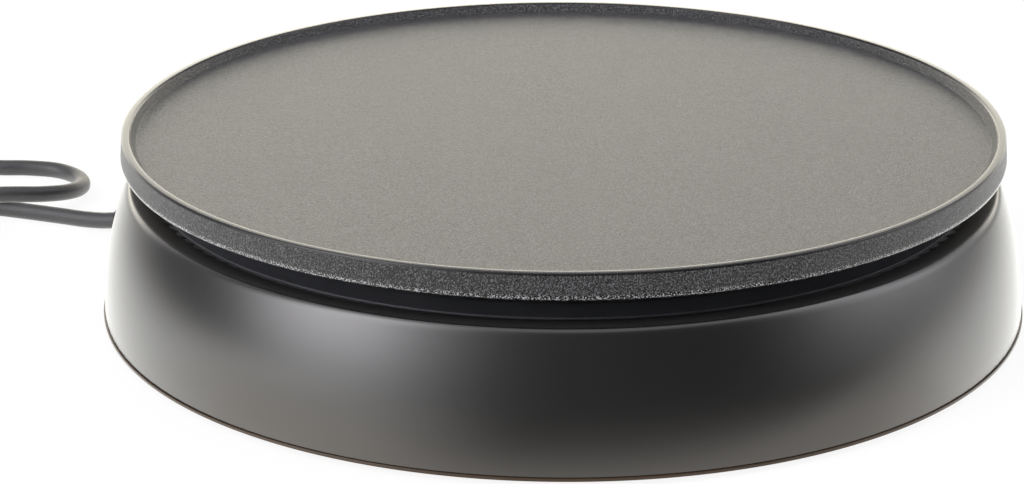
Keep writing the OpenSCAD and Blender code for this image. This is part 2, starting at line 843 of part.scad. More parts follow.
module control_knob() {
  grip_h = knob_face - panel_dist - knob_gap - skirt_thick;
  color(plastic_black) difference() {
    on_panel(0, panel_dist + knob_gap) {
      cylinder(d = knob_d, h = skirt_thick - 1);
      translate([0, 0, skirt_thick - 1]) cylinder(d1 = knob_d, d2 = knob_d - 2, h = 1);
      difference() {
        translate([0, 0, skirt_thick - 0.5]) {
          cylinder(d1 = grip_d, d2 = grip_d - 2, h = grip_h - 1);
          translate([0, 0, grip_h - 1]) cylinder(d1 = grip_d - 2, d2 = grip_d - 5, h = 1.5);
        }
        translate([0, 0, skirt_thick + 1]) around(flute_count, grip_d / 2 + 0.4)
          cylinder(r = 1.5, h = far, $fn = 32);
      }
    }
    // Hollow back, with a hub round the shaft
    on_panel(0, panel_dist + knob_gap - 1) difference() {
      cylinder(d = grip_d - 6, h = grip_h - 1);
      cylinder(r = shaft_r + 3, h = grip_h);
    }
    on_panel(0, panel_dist - 1) difference() {
      cylinder(r = shaft_r + run_gap, h = shaft_end + run_gap - panel_dist + 1);
      translate([-shaft_r - 1, -shaft_r - 2, 0])
        cube([2 * shaft_r + 2, 2 + shaft_r - flat_cut - run_gap, far]);
    }
    on_panel(0, panel_dist - 1) cylinder(r = bush_r + 0.6, h = bush_out + 2);
    on_panel(0, knob_face - 0.8) pointer_block(run_gap, far);
  }
}

module pointer_block(extra, h) {
  translate([-1 - extra, -grip_d / 2 + 4 - extra, 0]) cube([2 + 2 * extra, 9 + 2 * extra, h]);
}

module knob_pointer() {
  color("white") on_panel(0, knob_face - 0.8) pointer_block(0, 0.8);
}

module sensor_bulb() {
  color(brass) translate([-bulb_len / 2, bulb_y, under_z - sheet_gap - bulb_r]) rotate([0, 90, 0])
    cylinder(r = bulb_r - fit_gap, h = bulb_len);
}

module hold_strap(r) {
  low = under_z - sheet_gap - 2 * r - clip_t;
  difference() {
    translate([-strap_w / 2, -r - 1, low]) cube([strap_w, r + 1 + strap_screw_off + 5, clip_t]);
    translate([0, strap_screw_off, low - 1]) cylinder(r = clip_hole_r + fit_gap, h = clip_t + 2);
  }
}

module sensor_strap() {
  color(steel) translate([0, bulb_y, 0]) hold_strap(bulb_r);
}

module cutout_strap() {
  color(steel) translate([0, cutout_y, 0]) mirror([0, 1, 0]) hold_strap(cutout_r);
}

module thermal_cutout() {
  color(ceramic) translate([-cutout_len / 2, cutout_y, under_z - sheet_gap - cutout_r])
    rotate([0, 90, 0]) cylinder(r = cutout_r - fit_gap, h = cutout_len);
}

bulb_z = under_z - sheet_gap - bulb_r;
cutout_z = under_z - sheet_gap - cutout_r;

module capillary_tube() {
  entry_y = body_y - body_depth;
  color(brass) tube(concat(
    [[14, entry_y - fit_gap, knob_z + 9]],
    route([14, entry_y - 3, knob_z + 9], [capillary_hole[0], capillary_hole[1] + 2, shield_floor_z - 2], [
      [0.11, 1, 0.5, 0], [0.35, 4, 2, 0.5], [0.62, 4, 2, -1], [0.84, 3, 1.5, -0.5]
    ]),
    route([capillary_hole[0], capillary_hole[1] - 1, shield_floor_z + 4], [bulb_len / 2 + 2.5, bulb_y, bulb_z], [
      [0.26, 3, 0.5, 3], [0.57, 4.5, -0.5, 2], [0.83, 3.5, -0.5, 1], [0.95, 2, -0.5, 0.5]
    ]),
    [[bulb_len / 2 + fit_gap, bulb_y, bulb_z]]
  ), 2, wire_sides, [1, 0, 0]);
}

module lamp_lens() {
  dome_r = lamp_r * 1.25;
  color("#c8381f") on_panel(lamp_offset, panel_dist) {
    translate([0, 0, -wall_t - 5]) cylinder(r = lamp_r, h = wall_t + 5);
    cylinder(r = lamp_r + 1.3, h = 1);
    intersection() {
      translate([0, 0, 1 - sqrt(dome_r * dome_r - lamp_r * lamp_r)]) sphere(r = dome_r);
      cylinder(r = lamp_r, h = far);
    }
  }
}

module lamp_holder() {
  color(ceramic) difference() {
    on_panel(lamp_offset, panel_in - 21) {
      cylinder(r = lamp_r + 1.4, h = 20);
      translate([0, 0, 19]) cylinder(r = lamp_r + 4, h = 2);
    }
    on_panel(lamp_offset, panel_in - 5) cylinder(r = lamp_r + fit_gap, h = 10);
  }
}

// ---------------------------------------------------------------- supply

module terminal_block() {
  color(ceramic) rotate(block_angle) translate([block_r, 0, block_z]) difference() {
    union() {
      translate([-block_w / 2, -block_len / 2, block_h / 2]) cube([block_w, block_len, block_h / 2]);
      for (k = [-1, 0, 1]) translate([-block_w / 2, k * pole_pitch - 3.2, 0])
        cube([block_w, 6.4, block_h / 2 + 1]);
    }
    for (k = [-1, 0, 1]) translate([-block_w / 2 - 1, k * pole_pitch, block_h / 2])
      rotate([0, 90, 0]) cylinder(r = 1.7, h = block_w + 2);
    for (side = [-1, 1]) translate([0, side * block_post, -1]) cylinder(r = 1.4, h = block_h + 2);
  }
}

module block_screws() {
  color(steel) block_spots() translate([0, 0, block_z + block_h / 2]) 
      screw(small_head_r, small_head_h, small_shank_r, block_screw_len);
}

module cord_clamp() {
  color(plastic_black) rotate(cord_angle)
    translate([clamp_r, 0, clamp_low - clamp_bar_t]) difference() {
      translate([-clamp_w / 2, -clamp_half - 4.4, 0])
        cube([clamp_w, 2 * clamp_half + 8.8, clamp_bar_t]);
      for (side = [-1, 1]) translate([0, side * clamp_half, -1]) {
        cylinder(r = 1.3, h = clamp_bar_t + 2);
        cylinder(r = 2.7, h = 2.2);
      }
    }
}

module clamp_screws() {
  color(steel) clamp_spots() translate([0, 0, clamp_low - clamp_bar_t + 1.2]) 
      screw(small_head_r, clamp_head_h, small_shank_r, clamp_screw_len);
}

// The relief's grommet is square to the wall, and its ribbed cone droops towards the table
module strain_relief() {
  wall_r = wall_in_r + wall_t - 0.2;
  rib_count = 4;
  color(rubber) rotate(cord_angle) {
    translate([relief_in_r, 0, cord_z]) rotate([0, 90, 0]) {
      cylinder(r = relief_r, h = wall_r + 0.6 - relief_in_r);
      cylinder(r = collar_r, h = collar_t);
    }
    translate([wall_r + 0.3, 0, cord_z]) rotate([0, 90, 0]) cylinder(r = collar_r, h = collar_t);
    translate([wall_r + collar_t - 0.4, 0, cord_z]) rotate([0, 90 + relief_tilt, 0]) {
      cylinder(r1 = relief_r - 0.4, r2 = relief_tip_r, h = relief_len);
      for (k = [1 : rib_count]) translate([0, 0, k * relief_len / (rib_count + 1)])
        cylinder(r = relief_r + 0.4 - 0.2 * k, h = relief_len / 12);
    }
  }
}

module lead_inside() {
  color(rubber) rotate(cord_angle) translate([tail_in_r, 0, cord_z]) rotate([0, 90, 0])
    cylinder(r = cord_r, h = relief_in_r - tail_in_r);
}

pole_z = block_z + block_h / 2;
// A point beside the block: out from the middle of the base, along the block, and up
function block_point(out, along, z) = [
  out * cos(block_angle) - along * sin(block_angle),
  out * sin(block_angle) + along * cos(block_angle),
  z
];
function pole_at(out, k) = block_point(out, k * pole_pitch, pole_z);
block_in = block_r - block_w / 2;
block_out = block_r + block_w / 2;

// Where each core lies in the lead, as [sideways, upwards]: live, neutral, earth
core_at = [[0.3, 1.6], [-1.7, 0], [1.3, -1.1]];
core_lane = 3;

function core_point(r, k) =
  polar(r, cord_angle, cord_z + core_at[k + 1][1])
  + core_at[k + 1][0] * [-sin(cord_angle), cos(cord_angle), 0];

// From the lead's cut end the cores turn back in one upright ribbon, then each enters its own
// pole. Each row says how far out, in degrees round and up the ribbon is from the cut end.
turn_back = [[-6.5, -1.7, 2], [-8, -5.7, 6.5], [-4, -9.7, 11], [4, -12.2, 15], [14, -13.7, 18.5]];
function supply_route(k) = concat(
  [core_point(tail_in_r - fit_gap, k), core_point(tail_in_r - 2.5, k)],
  [
    for (p = turn_back)
      polar(tail_in_r + p[0], cord_angle + p[1], cord_z + p[2] - core_lane * k)
  ],
  [
    block_point(block_out + 6, 27, pole_z - core_lane * k),
    block_point(block_out + 8, 20, pole_z - core_lane * k),
    block_point(block_out + 8, k * pole_pitch + 6, pole_z - core_lane * k),
    block_point(block_out + 6, k * pole_pitch + 1.5, pole_z - core_lane * k / 2),
    pole_at(block_out + 3, k),
    pole_at(block_out + fit_gap, k)
  ]
);

tab_end = body_y - body_depth - 8;
tab_x = 9;
hole_below = shield_floor_z - 2;
hole_above = shield_floor_z + 3;

// From the supply to the thermostat, on to the cut-out, and back to the element
module live_wire() {
  color("#7a4a26") {
    tube(supply_route(-1), wire_d, wire_sides, [0, 1, 0]);
    tube(concat(
      [pole_at(block_in - fit_gap, -1)],
      route(pole_at(block_in - 5, -1), [-tab_x, tab_end - 3, knob_z], [
        [0.08, 1.5, -5, 2.5], [0.22, 2, -6.5, 4], [0.5, 2, -6.5, 3.5], [0.77, 1, -5.5, 1],
        [0.93, 1, -4, 0]
      ]),
      [[-tab_x, tab_end - fit_gap, knob_z]]
    ), wire_d, wire_sides);
    tube(concat(
      [[tab_x, tab_end - fit_gap, knob_z]],
      route([tab_x, tab_end - 3, knob_z], [cutout_hole, cutout_y, hole_below], [
        [0.04, 3.5, 0, 1.5], [0.1, 10.5, 1.5, 3.5], [0.19, 14, 2, 5], [0.36, 12, 1.5, 4],
        [0.62, 6.5, 1, 0.5], [0.86, 2.5, -0.5, -3.5], [0.96, 0.5, -0.5, -3.5]
      ]),
      route([cutout_hole, cutout_y, hole_above], [cutout_len / 2 + 5, cutout_y, cutout_z], [
        [0.45, 4.5, 0, 4], [0.76, 3, 0, 3]
      ]),
      [[cutout_len / 2 + fit_gap, cutout_y, cutout_z]]
    ), wire_d, wire_sides);
    tube(concat(
      [[-cutout_len / 2 - fit_gap, cutout_y, cutout_z]],
      route([-cutout_len / 2 - 5, cutout_y, cutout_z], [-cutout_hole, cutout_y, hole_above], [
        [0.24, -3, 0, 3], [0.55, -4.5, 0, 4]
      ]),
      route([-cutout_hole, cutout_y, hole_below], [leg_x, leg_y, tab_low - 6], [
        [0.04, -0.5, 0.5, -3], [0.23, -0.5, -0.5, -0.5], [0.51, 2.5, -0.5, 4], [0.74, 4, -1, 4],
        [0.88, 2.5, -0.5, -1], [0.97, 0.5, -0.5, -3]
      ]),
      [[leg_x, leg_y, tab_low - fit_gap]]
    ), wire_d, wire_sides);
  }
}

module neutral_wire() {
  color("#2f62b0") {
    tube(supply_route(0), wire_d, wire_sides, [0, 1, 0]);
    tube(concat(
      [pole_at(block_in - fit_gap, 0)],
      route(pole_at(block_in - 5, 0), [-leg_x, leg_y, tab_low - 6], [
        [0.13, 0, -7.5, -1.5], [0.35, 0, -12.5, -4], [0.62, 0, -13, -5.5], [0.87, -0.5, -7.5, -5.5],
        [0.98, -0.5, -3, -3]
      ]),
      [[-leg_x, leg_y, tab_low - fit_gap]]
    ), wire_d, wire_sides);
  }
}

module earth_wire() {
  color("#5f9e33") {
    tube(supply_route(1), wire_d, wire_sides, [0, 1, 0]);
    tube(concat(
      [pole_at(block_in - fit_gap, 1)],
      route(pole_at(block_in - 5, 1), polar(tag_end + 4, earth_angle, tag_z - 0.8), [
        [0.24, -0.5, 1, 2], [0.55, -2, 4.5, 2.5], [0.82, -1.5, 6, 1.5]
      ]),
      [polar(tag_end + fit_gap, earth_angle, tag_z - 0.6)]
    ), wire_d, wire_sides);
  }
}

// Screw and nut that bond the heat shield to earth
module earth_screw() {
  color(brass) translate(earth_at) {
    translate([0, 0, shield_floor_z]) mirror([0, 0, 1]) 
      screw(pan_head_r, pan_head_h, pan_shank_r, earth_screw_len);
    translate([0, 0, tag_z - nut_h]) difference() {
      cylinder(d = 7 / cos(30), h = nut_h, $fn = 6);
      translate([0, 0, -1]) cylinder(r = 2, h = nut_h + 2);
    }
  }
}

// Flat ring tag that the earth core is crimped to
module earth_tag() {
  color(brass) rotate(earth_angle) difference() {
    union() {
      translate([earth_r, 0, tag_z]) cylinder(r = 4.2, h = tag_t);
      translate([earth_r, -2, tag_z]) cube([tag_end - earth_r, 4, tag_t]);
    }
    translate([earth_r, 0, tag_z - 1]) cylinder(r = 2.1, h = tag_t + 2);
  }
}

// ---------------------------------------------------------------- mains lead and plug

module cord_lead() {
  color(rubber) tube(lead_points, cord_d, tube_sides);
}

module cord_tail() {
  color(rubber) tube(tail_points, cord_d, tube_sides);
}

module cord_coil() {
  color(rubber) translate(coil_at) rotate_extrude() polygon([
    [coil_r - coil_band, 0],
    [coil_r + coil_band, 0],
    [coil_r + coil_band, coil_band * 0.8],
    [coil_r + coil_band / 2, coil_top],
    [coil_r - coil_band / 2, coil_top],
    [coil_r - coil_band, coil_band * 0.8]
  ]);
}

// Plug frame: +X runs from the sleeve's end towards the pins
module at_plug() {
  translate(plug_end) rotate([0, 0, -90]) rotate([0, -plug_tilt, 0]) children();
}

module plug_body() {
  color(rubber) at_plug() rotate([0, 90, 0]) rotate_extrude() polygon([
    [0, 0], [relief_tip_r, 0], [6, sleeve_len], [10, sleeve_len + 1.5],
    [12.5, sleeve_len + 8], [13, sleeve_len + 18], [plug_r, sleeve_len + 24],
    [plug_r, sleeve_len + plug_len - 1], [plug_r - 1, sleeve_len + plug_len],
    [0, sleeve_len + plug_len]
  ]);
}

module plug_pins() {
  color(steel) at_plug() rotate([0, 90, 0]) for (side = [-1, 1])
    translate([0, side * plug_pin_pitch / 2, sleeve_len + plug_len]) {
      cylinder(r = plug_pin_r, h = plug_pin_len - 1.5);
      translate([0, 0, plug_pin_len - 1.5]) cylinder(r1 = plug_pin_r, r2 = plug_pin_r - 1, h = 1.5);
    }
}

griddle_plate();
heating_element();
element_terminals();
element_clips();
clip_screws();
plate_studs();
stud_spacers();
stud_nuts();
heat_shield();
shield_screws();
base_shell();
bottom_cover();
cover_screws();
rubber_feet();
thermostat_body();
thermostat_shaft();
thermostat_screws();
control_knob();
knob_pointer();
sensor_bulb();
capillary_tube();
sensor_strap();
thermal_cutout();
cutout_strap();
lamp_lens();
lamp_holder();
terminal_block();
block_screws();
cord_clamp();
clamp_screws();
strain_relief();
lead_inside();
live_wire();
neutral_wire();
earth_wire();
earth_screw();
earth_tag();
cord_lead();
cord_coil();
cord_tail();
plug_body();
plug_pins();
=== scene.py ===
# %% [markdown]
# # Electric crepe maker
# A flat round griddle of cast aluminium stands on a low black housing, with a mains lead at its
# back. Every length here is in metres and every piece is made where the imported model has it, so
# nothing needs fitting afterwards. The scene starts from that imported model: its parts are the
# nodes, and each one rides on a body, either the housing or the knob.

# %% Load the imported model
import json
import math

import bmesh
import bpy
from mathutils import Matrix, Vector


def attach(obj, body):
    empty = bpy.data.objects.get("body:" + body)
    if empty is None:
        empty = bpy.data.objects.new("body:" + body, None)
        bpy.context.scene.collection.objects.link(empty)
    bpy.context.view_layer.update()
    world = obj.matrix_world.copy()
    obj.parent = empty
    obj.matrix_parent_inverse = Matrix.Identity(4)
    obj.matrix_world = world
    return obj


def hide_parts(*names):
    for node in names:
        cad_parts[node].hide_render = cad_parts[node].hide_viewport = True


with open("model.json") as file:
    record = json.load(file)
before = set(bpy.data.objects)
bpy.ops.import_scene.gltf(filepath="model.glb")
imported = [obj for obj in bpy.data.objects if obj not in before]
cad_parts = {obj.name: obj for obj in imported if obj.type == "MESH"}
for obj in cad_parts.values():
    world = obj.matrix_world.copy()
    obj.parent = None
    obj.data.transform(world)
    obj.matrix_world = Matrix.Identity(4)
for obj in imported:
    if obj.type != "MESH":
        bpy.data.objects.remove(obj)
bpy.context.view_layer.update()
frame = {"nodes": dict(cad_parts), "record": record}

nodes = frame["nodes"]
print("parts in the packed model:", len(nodes))

# %% [markdown]
# ## Camera
# The lens is long, about twice a normal one, so that the round griddle keeps its true
# proportions. The camera looks down on it by twenty degrees. Its turn is worked out from where it
# stands and what it looks at, and then it leans by a small angle, as a camera in the hand does.

# %% Camera
EYE = Vector((-0.0192, -1.0259, 0.3993))
AIM = Vector((-0.0192, 0.0, 0.0216))
LEAN = math.radians(-0.138)
SENSOR = 36
FOCAL = 100.45

back = (EYE - AIM).normalized()
level = Vector((1, 0, 0))
rise = back.cross(level)
right = level * math.cos(LEAN) + rise * math.sin(LEAN)
up = rise * math.cos(LEAN) - level * math.sin(LEAN)
camera = bpy.data.objects.new("camera", bpy.data.cameras.new("camera"))
bpy.context.scene.collection.objects.link(camera)
camera.matrix_world = Matrix.Translation(EYE) @ Matrix((right, up, back)).transposed().to_4x4()
camera.data.sensor_width = SENSOR
camera.data.lens = FOCAL
camera.data.clip_start = 0.05
camera.data.clip_end = 50
bpy.context.scene.camera = camera
bpy.context.scene.view_settings.view_transform = "Standard"
print("camera is", round((EYE - AIM).length, 3), "m from what it looks at")

# %% [markdown]
# ## Helpers for meshes
# Small helpers serve every piece: one puts a mesh or a curve into the scene, one makes an object
# from points and faces, and one measures a line.

# %% Mesh helpers
MM = 0.001


def in_scene(name, data):
    obj = bpy.data.objects.new(name, data)
    bpy.context.scene.collection.objects.link(obj)
    return obj


def as_object(name, points, faces=(), edges=()):
    """An object whose points are given in millimetres."""
    mesh = bpy.data.meshes.new(name)
    mesh.from_pydata([Vector(p) * MM for p in points], edges, faces)
    return in_scene(name, mesh)


def line_length(points):
    return sum((b - a).length for a, b in zip(points, points[1:]))


# %% [markdown]
# ## Mains lead
# The lead is a round vinyl cable of 6.7 mm. It droops from its relief onto the table, crosses
# over itself once in a wide loose loop, and what is left of it is wound into a neat coil beside
# the housing. A curve is the right tool: its points are the path, and its bevel is the round
# jacket, so it can't get thinner in a bend. The coil has one turn outside another on the table,
# and the last turn lies in the groove between them.

# %% Lead: path
CORD_D = 6.7
CORD_R = CORD_D / 2
LEAD = [
    (-180, 72, 5.1), (-187, 74.8, 3.9), (-195, 78, 3.4), (-205, 82, 3.4),
    (-218, 87, 3.4), (-231, 91.6, 3.4), (-245, 95.5, 3.4), (-259, 97, 3.4),
    (-275, 97, 3.4), (-288.5, 100.6, 3.4), (-298.4, 110.5, 3.4), (-302, 124, 3.4),
    (-298.4, 137.5, 3.4), (-288.5, 147.4, 3.4), (-275, 151, 3.4), (-262, 149.6, 3.4),
    (-250, 146.4, 3.4), (-240, 144, 3.4), (-228, 143.5, 3.4), (-214.5, 139.9, 3.4),
    (-204.6, 130, 3.6), (-201, 116.5, 4.4), (-204.6, 103, 6.6), (-214.5, 93.1, 9),
    (-228, 89.5, 10.2), (-240, 89, 9.5), (-252, 87.5, 7.2), (-264, 85.4, 4.5),
]
TAIL = [
    (-313, 28, 10.2), (-313.5, 14, 8.4), (-314.5, 0, 5.4),
    (-315.5, -12, 3.7), (-316, -22, 4.14), (-316, -24, 4.6),
]
COIL_AT = Vector((-276, 44, 0))
COIL_OUT = 40.35
COIL_IN = 33.65
COIL_Z = 3.4
# The coil's turns in degrees: where it moves inwards, where it climbs, and where it crosses itself
INWARDS, CLIMBS, CHANGE = 300, 600, 60
CROSSES, CROSSED, LIFT = 650, 730, 1.0
COIL_END = 810


def coil_point(turned):
    """Where the lead is after turning by so many degrees, from the back of the coil."""
    shift = min(max((turned - INWARDS) / CHANGE, 0), 1)
    shift = shift * shift * (3 - 2 * shift)
    r = COIL_OUT + (COIL_IN - COIL_OUT) * shift
    z = COIL_Z
    if turned > CLIMBS:
        # Up round the outer turn, and into the groove above the two lower ones
        climb = min((turned - CLIMBS) / CHANGE, 1)
        roll = math.radians(180 - 60 * climb)
        r = COIL_OUT + CORD_D * math.cos(roll)
        z = COIL_Z + CORD_D * math.sin(roll)
    if CROSSES < turned < CROSSED:
        z += LIFT * math.sin(math.pi * (turned - CROSSES) / (CROSSED - CROSSES)) ** 2
    a = math.radians(90 + turned)
    return COIL_AT + Vector((r * math.cos(a), r * math.sin(a), z))


coil = [coil_point(t) for t in range(0, COIL_END + 1, 15)]
cord_path = [*map(Vector, LEAD), *coil, *map(Vector, TAIL)]
print("points on the lead:", len(cord_path), " coil:", round(line_length(coil)), "mm")

# %% Lead: curve
cord_curve = bpy.data.curves.new("mains_lead", "CURVE")
cord_curve.dimensions = "3D"
cord_curve.bevel_depth = 1.0
cord_curve.bevel_resolution = 6
cord_curve.use_fill_caps = True
cord_curve.resolution_u = 5
spline = cord_curve.splines.new("BEZIER")
spline.bezier_points.add(len(cord_path) - 1)
for i, knot in enumerate(spline.bezier_points):
    before, after = cord_path[max(i - 1, 0)], cord_path[min(i + 1, len(cord_path) - 1)]
    reach = (after - before) / 6
    knot.handle_left_type = knot.handle_right_type = "FREE"
    knot.co = cord_path[i] * MM
    knot.handle_left = (cord_path[i] - reach) * MM
    knot.handle_right = (cord_path[i] + reach) * MM
    knot.radius = CORD_R * MM
mains_lead = in_scene("mains_lead", cord_curve)

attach(mains_lead, "body")
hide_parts("cord_lead", "cord_coil", "cord_tail")
# The coil is put away beside the housing, whose gloss would show it as dark blotches
mains_lead.visible_glossy = False

# %% [markdown]
# ## Helpers for nodes
# Shader trees and geometry trees are both made of nodes, so one helper adds a node, sets it and
# links it. Others do sums, find a place round an axis, mix two values or two colours, open a tree
# of either kind with named inputs and outputs, start a material, and run a geometry tree on an
# object and keep what it made as a plain mesh.

# %% Node helpers
def add(tree, kind, inputs=None, **settings):
    """A node whose inputs are set to values, or linked where a value is another node's socket."""
    made = tree.nodes.new(kind)
    for name, value in settings.items():
        setattr(made, name, value)
    for key, value in (inputs or {}).items():
        if isinstance(value, bpy.types.NodeSocket):
            tree.links.new(value, made.inputs[key])
        else:
            made.inputs[key].default_value = value
    return made


def new_tree(name, kind, inputs, outputs):
    """A node group. Its inputs are {name: (socket type, value)} and its outputs {name: type}."""
    tree = bpy.data.node_groups.new(name, kind)
    for label, (socket, value) in inputs.items():
        made = tree.interface.new_socket(label, in_out="INPUT", socket_type=socket)
        if value is not None:
            made.default_value = value
    for label, socket in outputs.items():
        tree.interface.new_socket(label, in_out="OUTPUT", socket_type=socket)
    return tree, tree.nodes.new("NodeGroupInput").outputs, tree.nodes.new("NodeGroupOutput")


def math_node(tree, operation, a, b=0.0):
    return add(tree, "ShaderNodeMath", {0: a, 1: b}, operation=operation).outputs[0]


def times(tree, *factors):
    """The product of values or sockets."""
    product = factors[0]
    for factor in factors[1:]:
        product = math_node(tree, "MULTIPLY", product, factor)
    return product


def round_place(tree, radius, angle, height=0.0):
    """The place at a radius and an angle round the Z axis."""
    return add(tree, "ShaderNodeCombineXYZ", {
        "X": times(tree, radius, math_node(tree, "COSINE", angle)),
        "Y": times(tree, radius, math_node(tree, "SINE", angle)), "Z": height}).outputs[0]


def blend(tree, share, low, high):
    """A value between low and high."""
    return add(tree, "ShaderNodeMix", {0: share, 2: low, 3: high}).outputs[0]


def between(tree, share, low, high):
    """A value that runs from low to high while the share runs from 0 to 1, and no further."""
    return add(tree, "ShaderNodeMapRange", {
        "Value": share, "To Min": low, "To Max": high}).outputs["Result"]


def mix_colour(tree, share, low, high):
    """A colour between low and high, each a colour or another node's socket."""
    # A Mix node keeps its colours in sockets 6 and 7, and gives the mixed colour at output 2
    low, high = [(*c, 1) if isinstance(c, tuple) else c for c in (low, high)]
    return add(tree, "ShaderNodeMix", {0: share, 6: low, 7: high}, data_type="RGBA").outputs[2]


def new_material(name):
    made = bpy.data.materials.new(name)
    made.use_nodes = True
    return made, made.node_tree, made.node_tree.nodes["Principled BSDF"]


def grow(obj, tree, values):
    """Runs a geometry tree on obj with its named inputs, and keeps the result as obj's mesh."""
    maker = obj.modifiers.new(tree.name, "NODES")
    maker.node_group = tree
    for item in tree.interface.items_tree:
        if item.in_out == "INPUT" and item.name in values:
            maker[item.identifier] = values[item.name]
    seen = bpy.context.evaluated_depsgraph_get()
    mesh = bpy.data.meshes.new_from_object(obj.evaluated_get(seen))
    obj.modifiers.remove(maker)
    obj.data = mesh
    print(obj.name, "has", len(mesh.polygons), "faces")


# %% [markdown]
# ## Surface effects shared by the finishes
# Moulded plastic, cast metal and rubber all have a fine grain that breaks up reflections, and
# broad faint patches where they were wiped or handled. Both come from noise on the piece's own
# coordinates, so they stay on the piece when it moves. One group gives the grain, the patches and
# a mask of small flecks, and each finish sets its own sizes.

# %% Grain group
grain_group, source, result = new_tree("surface_grain", "ShaderNodeTree", {
    "Grain Size": ("NodeSocketFloat", 0.0004),
    "Patch Size": ("NodeSocketFloat", 0.05),
    "Fleck Size": ("NodeSocketFloat", 0.001),
    "Fleck Share": ("NodeSocketFloat", 0.3),
}, {"Grain": "NodeSocketFloat", "Patches": "NodeSocketFloat", "Flecks": "NodeSocketFloat"})
GRAIN_RANGE, PATCH_RANGE = (0.3, 0.7), (0.35, 0.65)
# The larger the share of flecks, the lower the level from which a bump of the noise is a fleck
FLECK_TOP, FLECK_SLOPE, FLECK_EDGE = 0.75, 0.5, 0.08
here = add(grain_group, "ShaderNodeTexCoord").outputs["Object"]


def noise(tree, place, size, detail):
    scale = math_node(tree, "DIVIDE", 1.0, size)
    return add(tree, "ShaderNodeTexNoise", {
        "Vector": place, "Scale": scale, "Detail": detail, "Roughness": 0.55,
    }).outputs["Fac"]


def spread(tree, value, low, high):
    """Runs softly from 0 at low to 1 at high, and so it falls where low is the larger one."""
    return add(tree, "ShaderNodeMapRange", {
        "Value": value, "From Min": low, "From Max": high,
    }, interpolation_type="SMOOTHSTEP").outputs["Result"]


grain = noise(grain_group, here, source["Grain Size"], 2.0)
patches = noise(grain_group, here, source["Patch Size"], 3.0)
cells = noise(grain_group, here, source["Fleck Size"], 1.0)
fleck_low = math_node(grain_group, "SUBTRACT", FLECK_TOP,
                      times(grain_group, source["Fleck Share"], FLECK_SLOPE))
fleck_high = math_node(grain_group, "ADD", fleck_low, FLECK_EDGE)
grain_group.links.new(spread(grain_group, grain, *GRAIN_RANGE), result.inputs["Grain"])
grain_group.links.new(spread(grain_group, patches, *PATCH_RANGE), result.inputs["Patches"])
grain_group.links.new(spread(grain_group, cells, fleck_low, fleck_high), result.inputs["Flecks"])
print("grain group:", [o.name for o in result.inputs if o.name])


# %% [markdown]
# ## Finishes
# Every finish is one Principled shader with the shared grain behind it. The grain moves the
# roughness up and down and gives the bump its height, the patches shift the colour a little, and
# the flecks show where a coating has mica or the cast skin shines. The values differ, so the
# finishes are built by one function from a table.

# %% Finish builder
PATCH_SHIFT = 0.08


def grain_effect(tree, sizes):
    """The grain group with its four sizes: grain, patch, fleck, and the share of flecks."""
    effect = add(tree, "ShaderNodeGroup", node_tree=grain_group)
    for label, value in zip(("Grain Size", "Patch Size", "Fleck Size", "Fleck Share"), sizes):
        effect.inputs[label].default_value = value
    return effect.outputs


def set_relief(tree, shader, height, strength, distance):
    relief = add(tree, "ShaderNodeBump", {
        "Height": height, "Strength": strength, "Distance": distance})
    tree.links.new(relief.outputs["Normal"], shader.inputs["Normal"])


def finish(name, colour, fleck_colour, rough, grain, bump, metal=0.0, shine=0.5):
    """A material. rough is (smoothest, roughest), grain is what grain_effect takes, and bump is
    (strength, depth in metres)."""
    made, tree, shader = new_material(name)
    effect = grain_effect(tree, grain)
    darker = tuple(c * (1 - PATCH_SHIFT) for c in colour)
    lighter = tuple(c * (1 + PATCH_SHIFT) for c in colour)
    body = mix_colour(tree, effect["Patches"], darker, lighter)
    tree.links.new(mix_colour(tree, effect["Flecks"], body, fleck_colour),
                   shader.inputs["Base Color"])
    tree.links.new(between(tree, effect["Grain"], *rough), shader.inputs["Roughness"])
    set_relief(tree, shader, effect["Grain"], *bump)
    shader.inputs["Metallic"].default_value = metal
    shader.inputs["Specular IOR Level"].default_value = shine
    return made


# %% [markdown]
# ## The griddle's coating
# The non-stick coating is grey with pale mineral flecks. It is sprayed, so it lies rough and
# grainy on the floor and the outer edge, but thin and smooth over the turned corners of the rim,
# which therefore catch the light as thin lines. At the skirt's lower corner the flecks are painted
# paler, a painted highlight of the bright band of light along that corner. Two masks on the
# piece's own coordinates, by the distance from the axis and the height, tell these corners from
# the rest. They smooth the coating there, thin out the flecks on the rim, and make them paler at
# the lower corner. The griddle's sizes come first, because the masks go by them.

# %% Sizes of the griddle
PLATE_R = 165.0
SKIRT_R = 165.6
DISH_R = 159.7
LIP_IN_R = 162.0
SKIRT_IN_R = 160.8
UNDER_Z = 63.6
CAST_Z = UNDER_Z + 0.2
FLOOR_Z = 68.2
TOP_Z = 71.4
SKIRT_Z = 61.9
EDGE_R = 0.6
LOW_EDGE_R = 1.4
LIP_ROUND = 0.5
DISH_ROUND = 1.2
RIM_TURN = 54
print("griddle:", 2 * PLATE_R, "mm across, floor", round(TOP_Z - FLOOR_Z, 1), "mm below the lip")

# %% Coating of the griddle
GROUND_DARK, GROUND_LIGHT = (0.0045, 0.0045, 0.0047), (0.0070, 0.0070, 0.0070)
# The second fleck colour is paler and shows only at the skirt's lower corner, as a painted
# highlight
FLECK_GREY, FLECK_PAINTED_HIGHLIGHT = (0.112, 0.117, 0.124), (0.36, 0.37, 0.38)
COATING_ROUGH, CORNER_ROUGH = (0.27, 0.46), 0.2
COATING_BUMP = (1.0, 0.00026)
RIM_FLECKS = 0.1


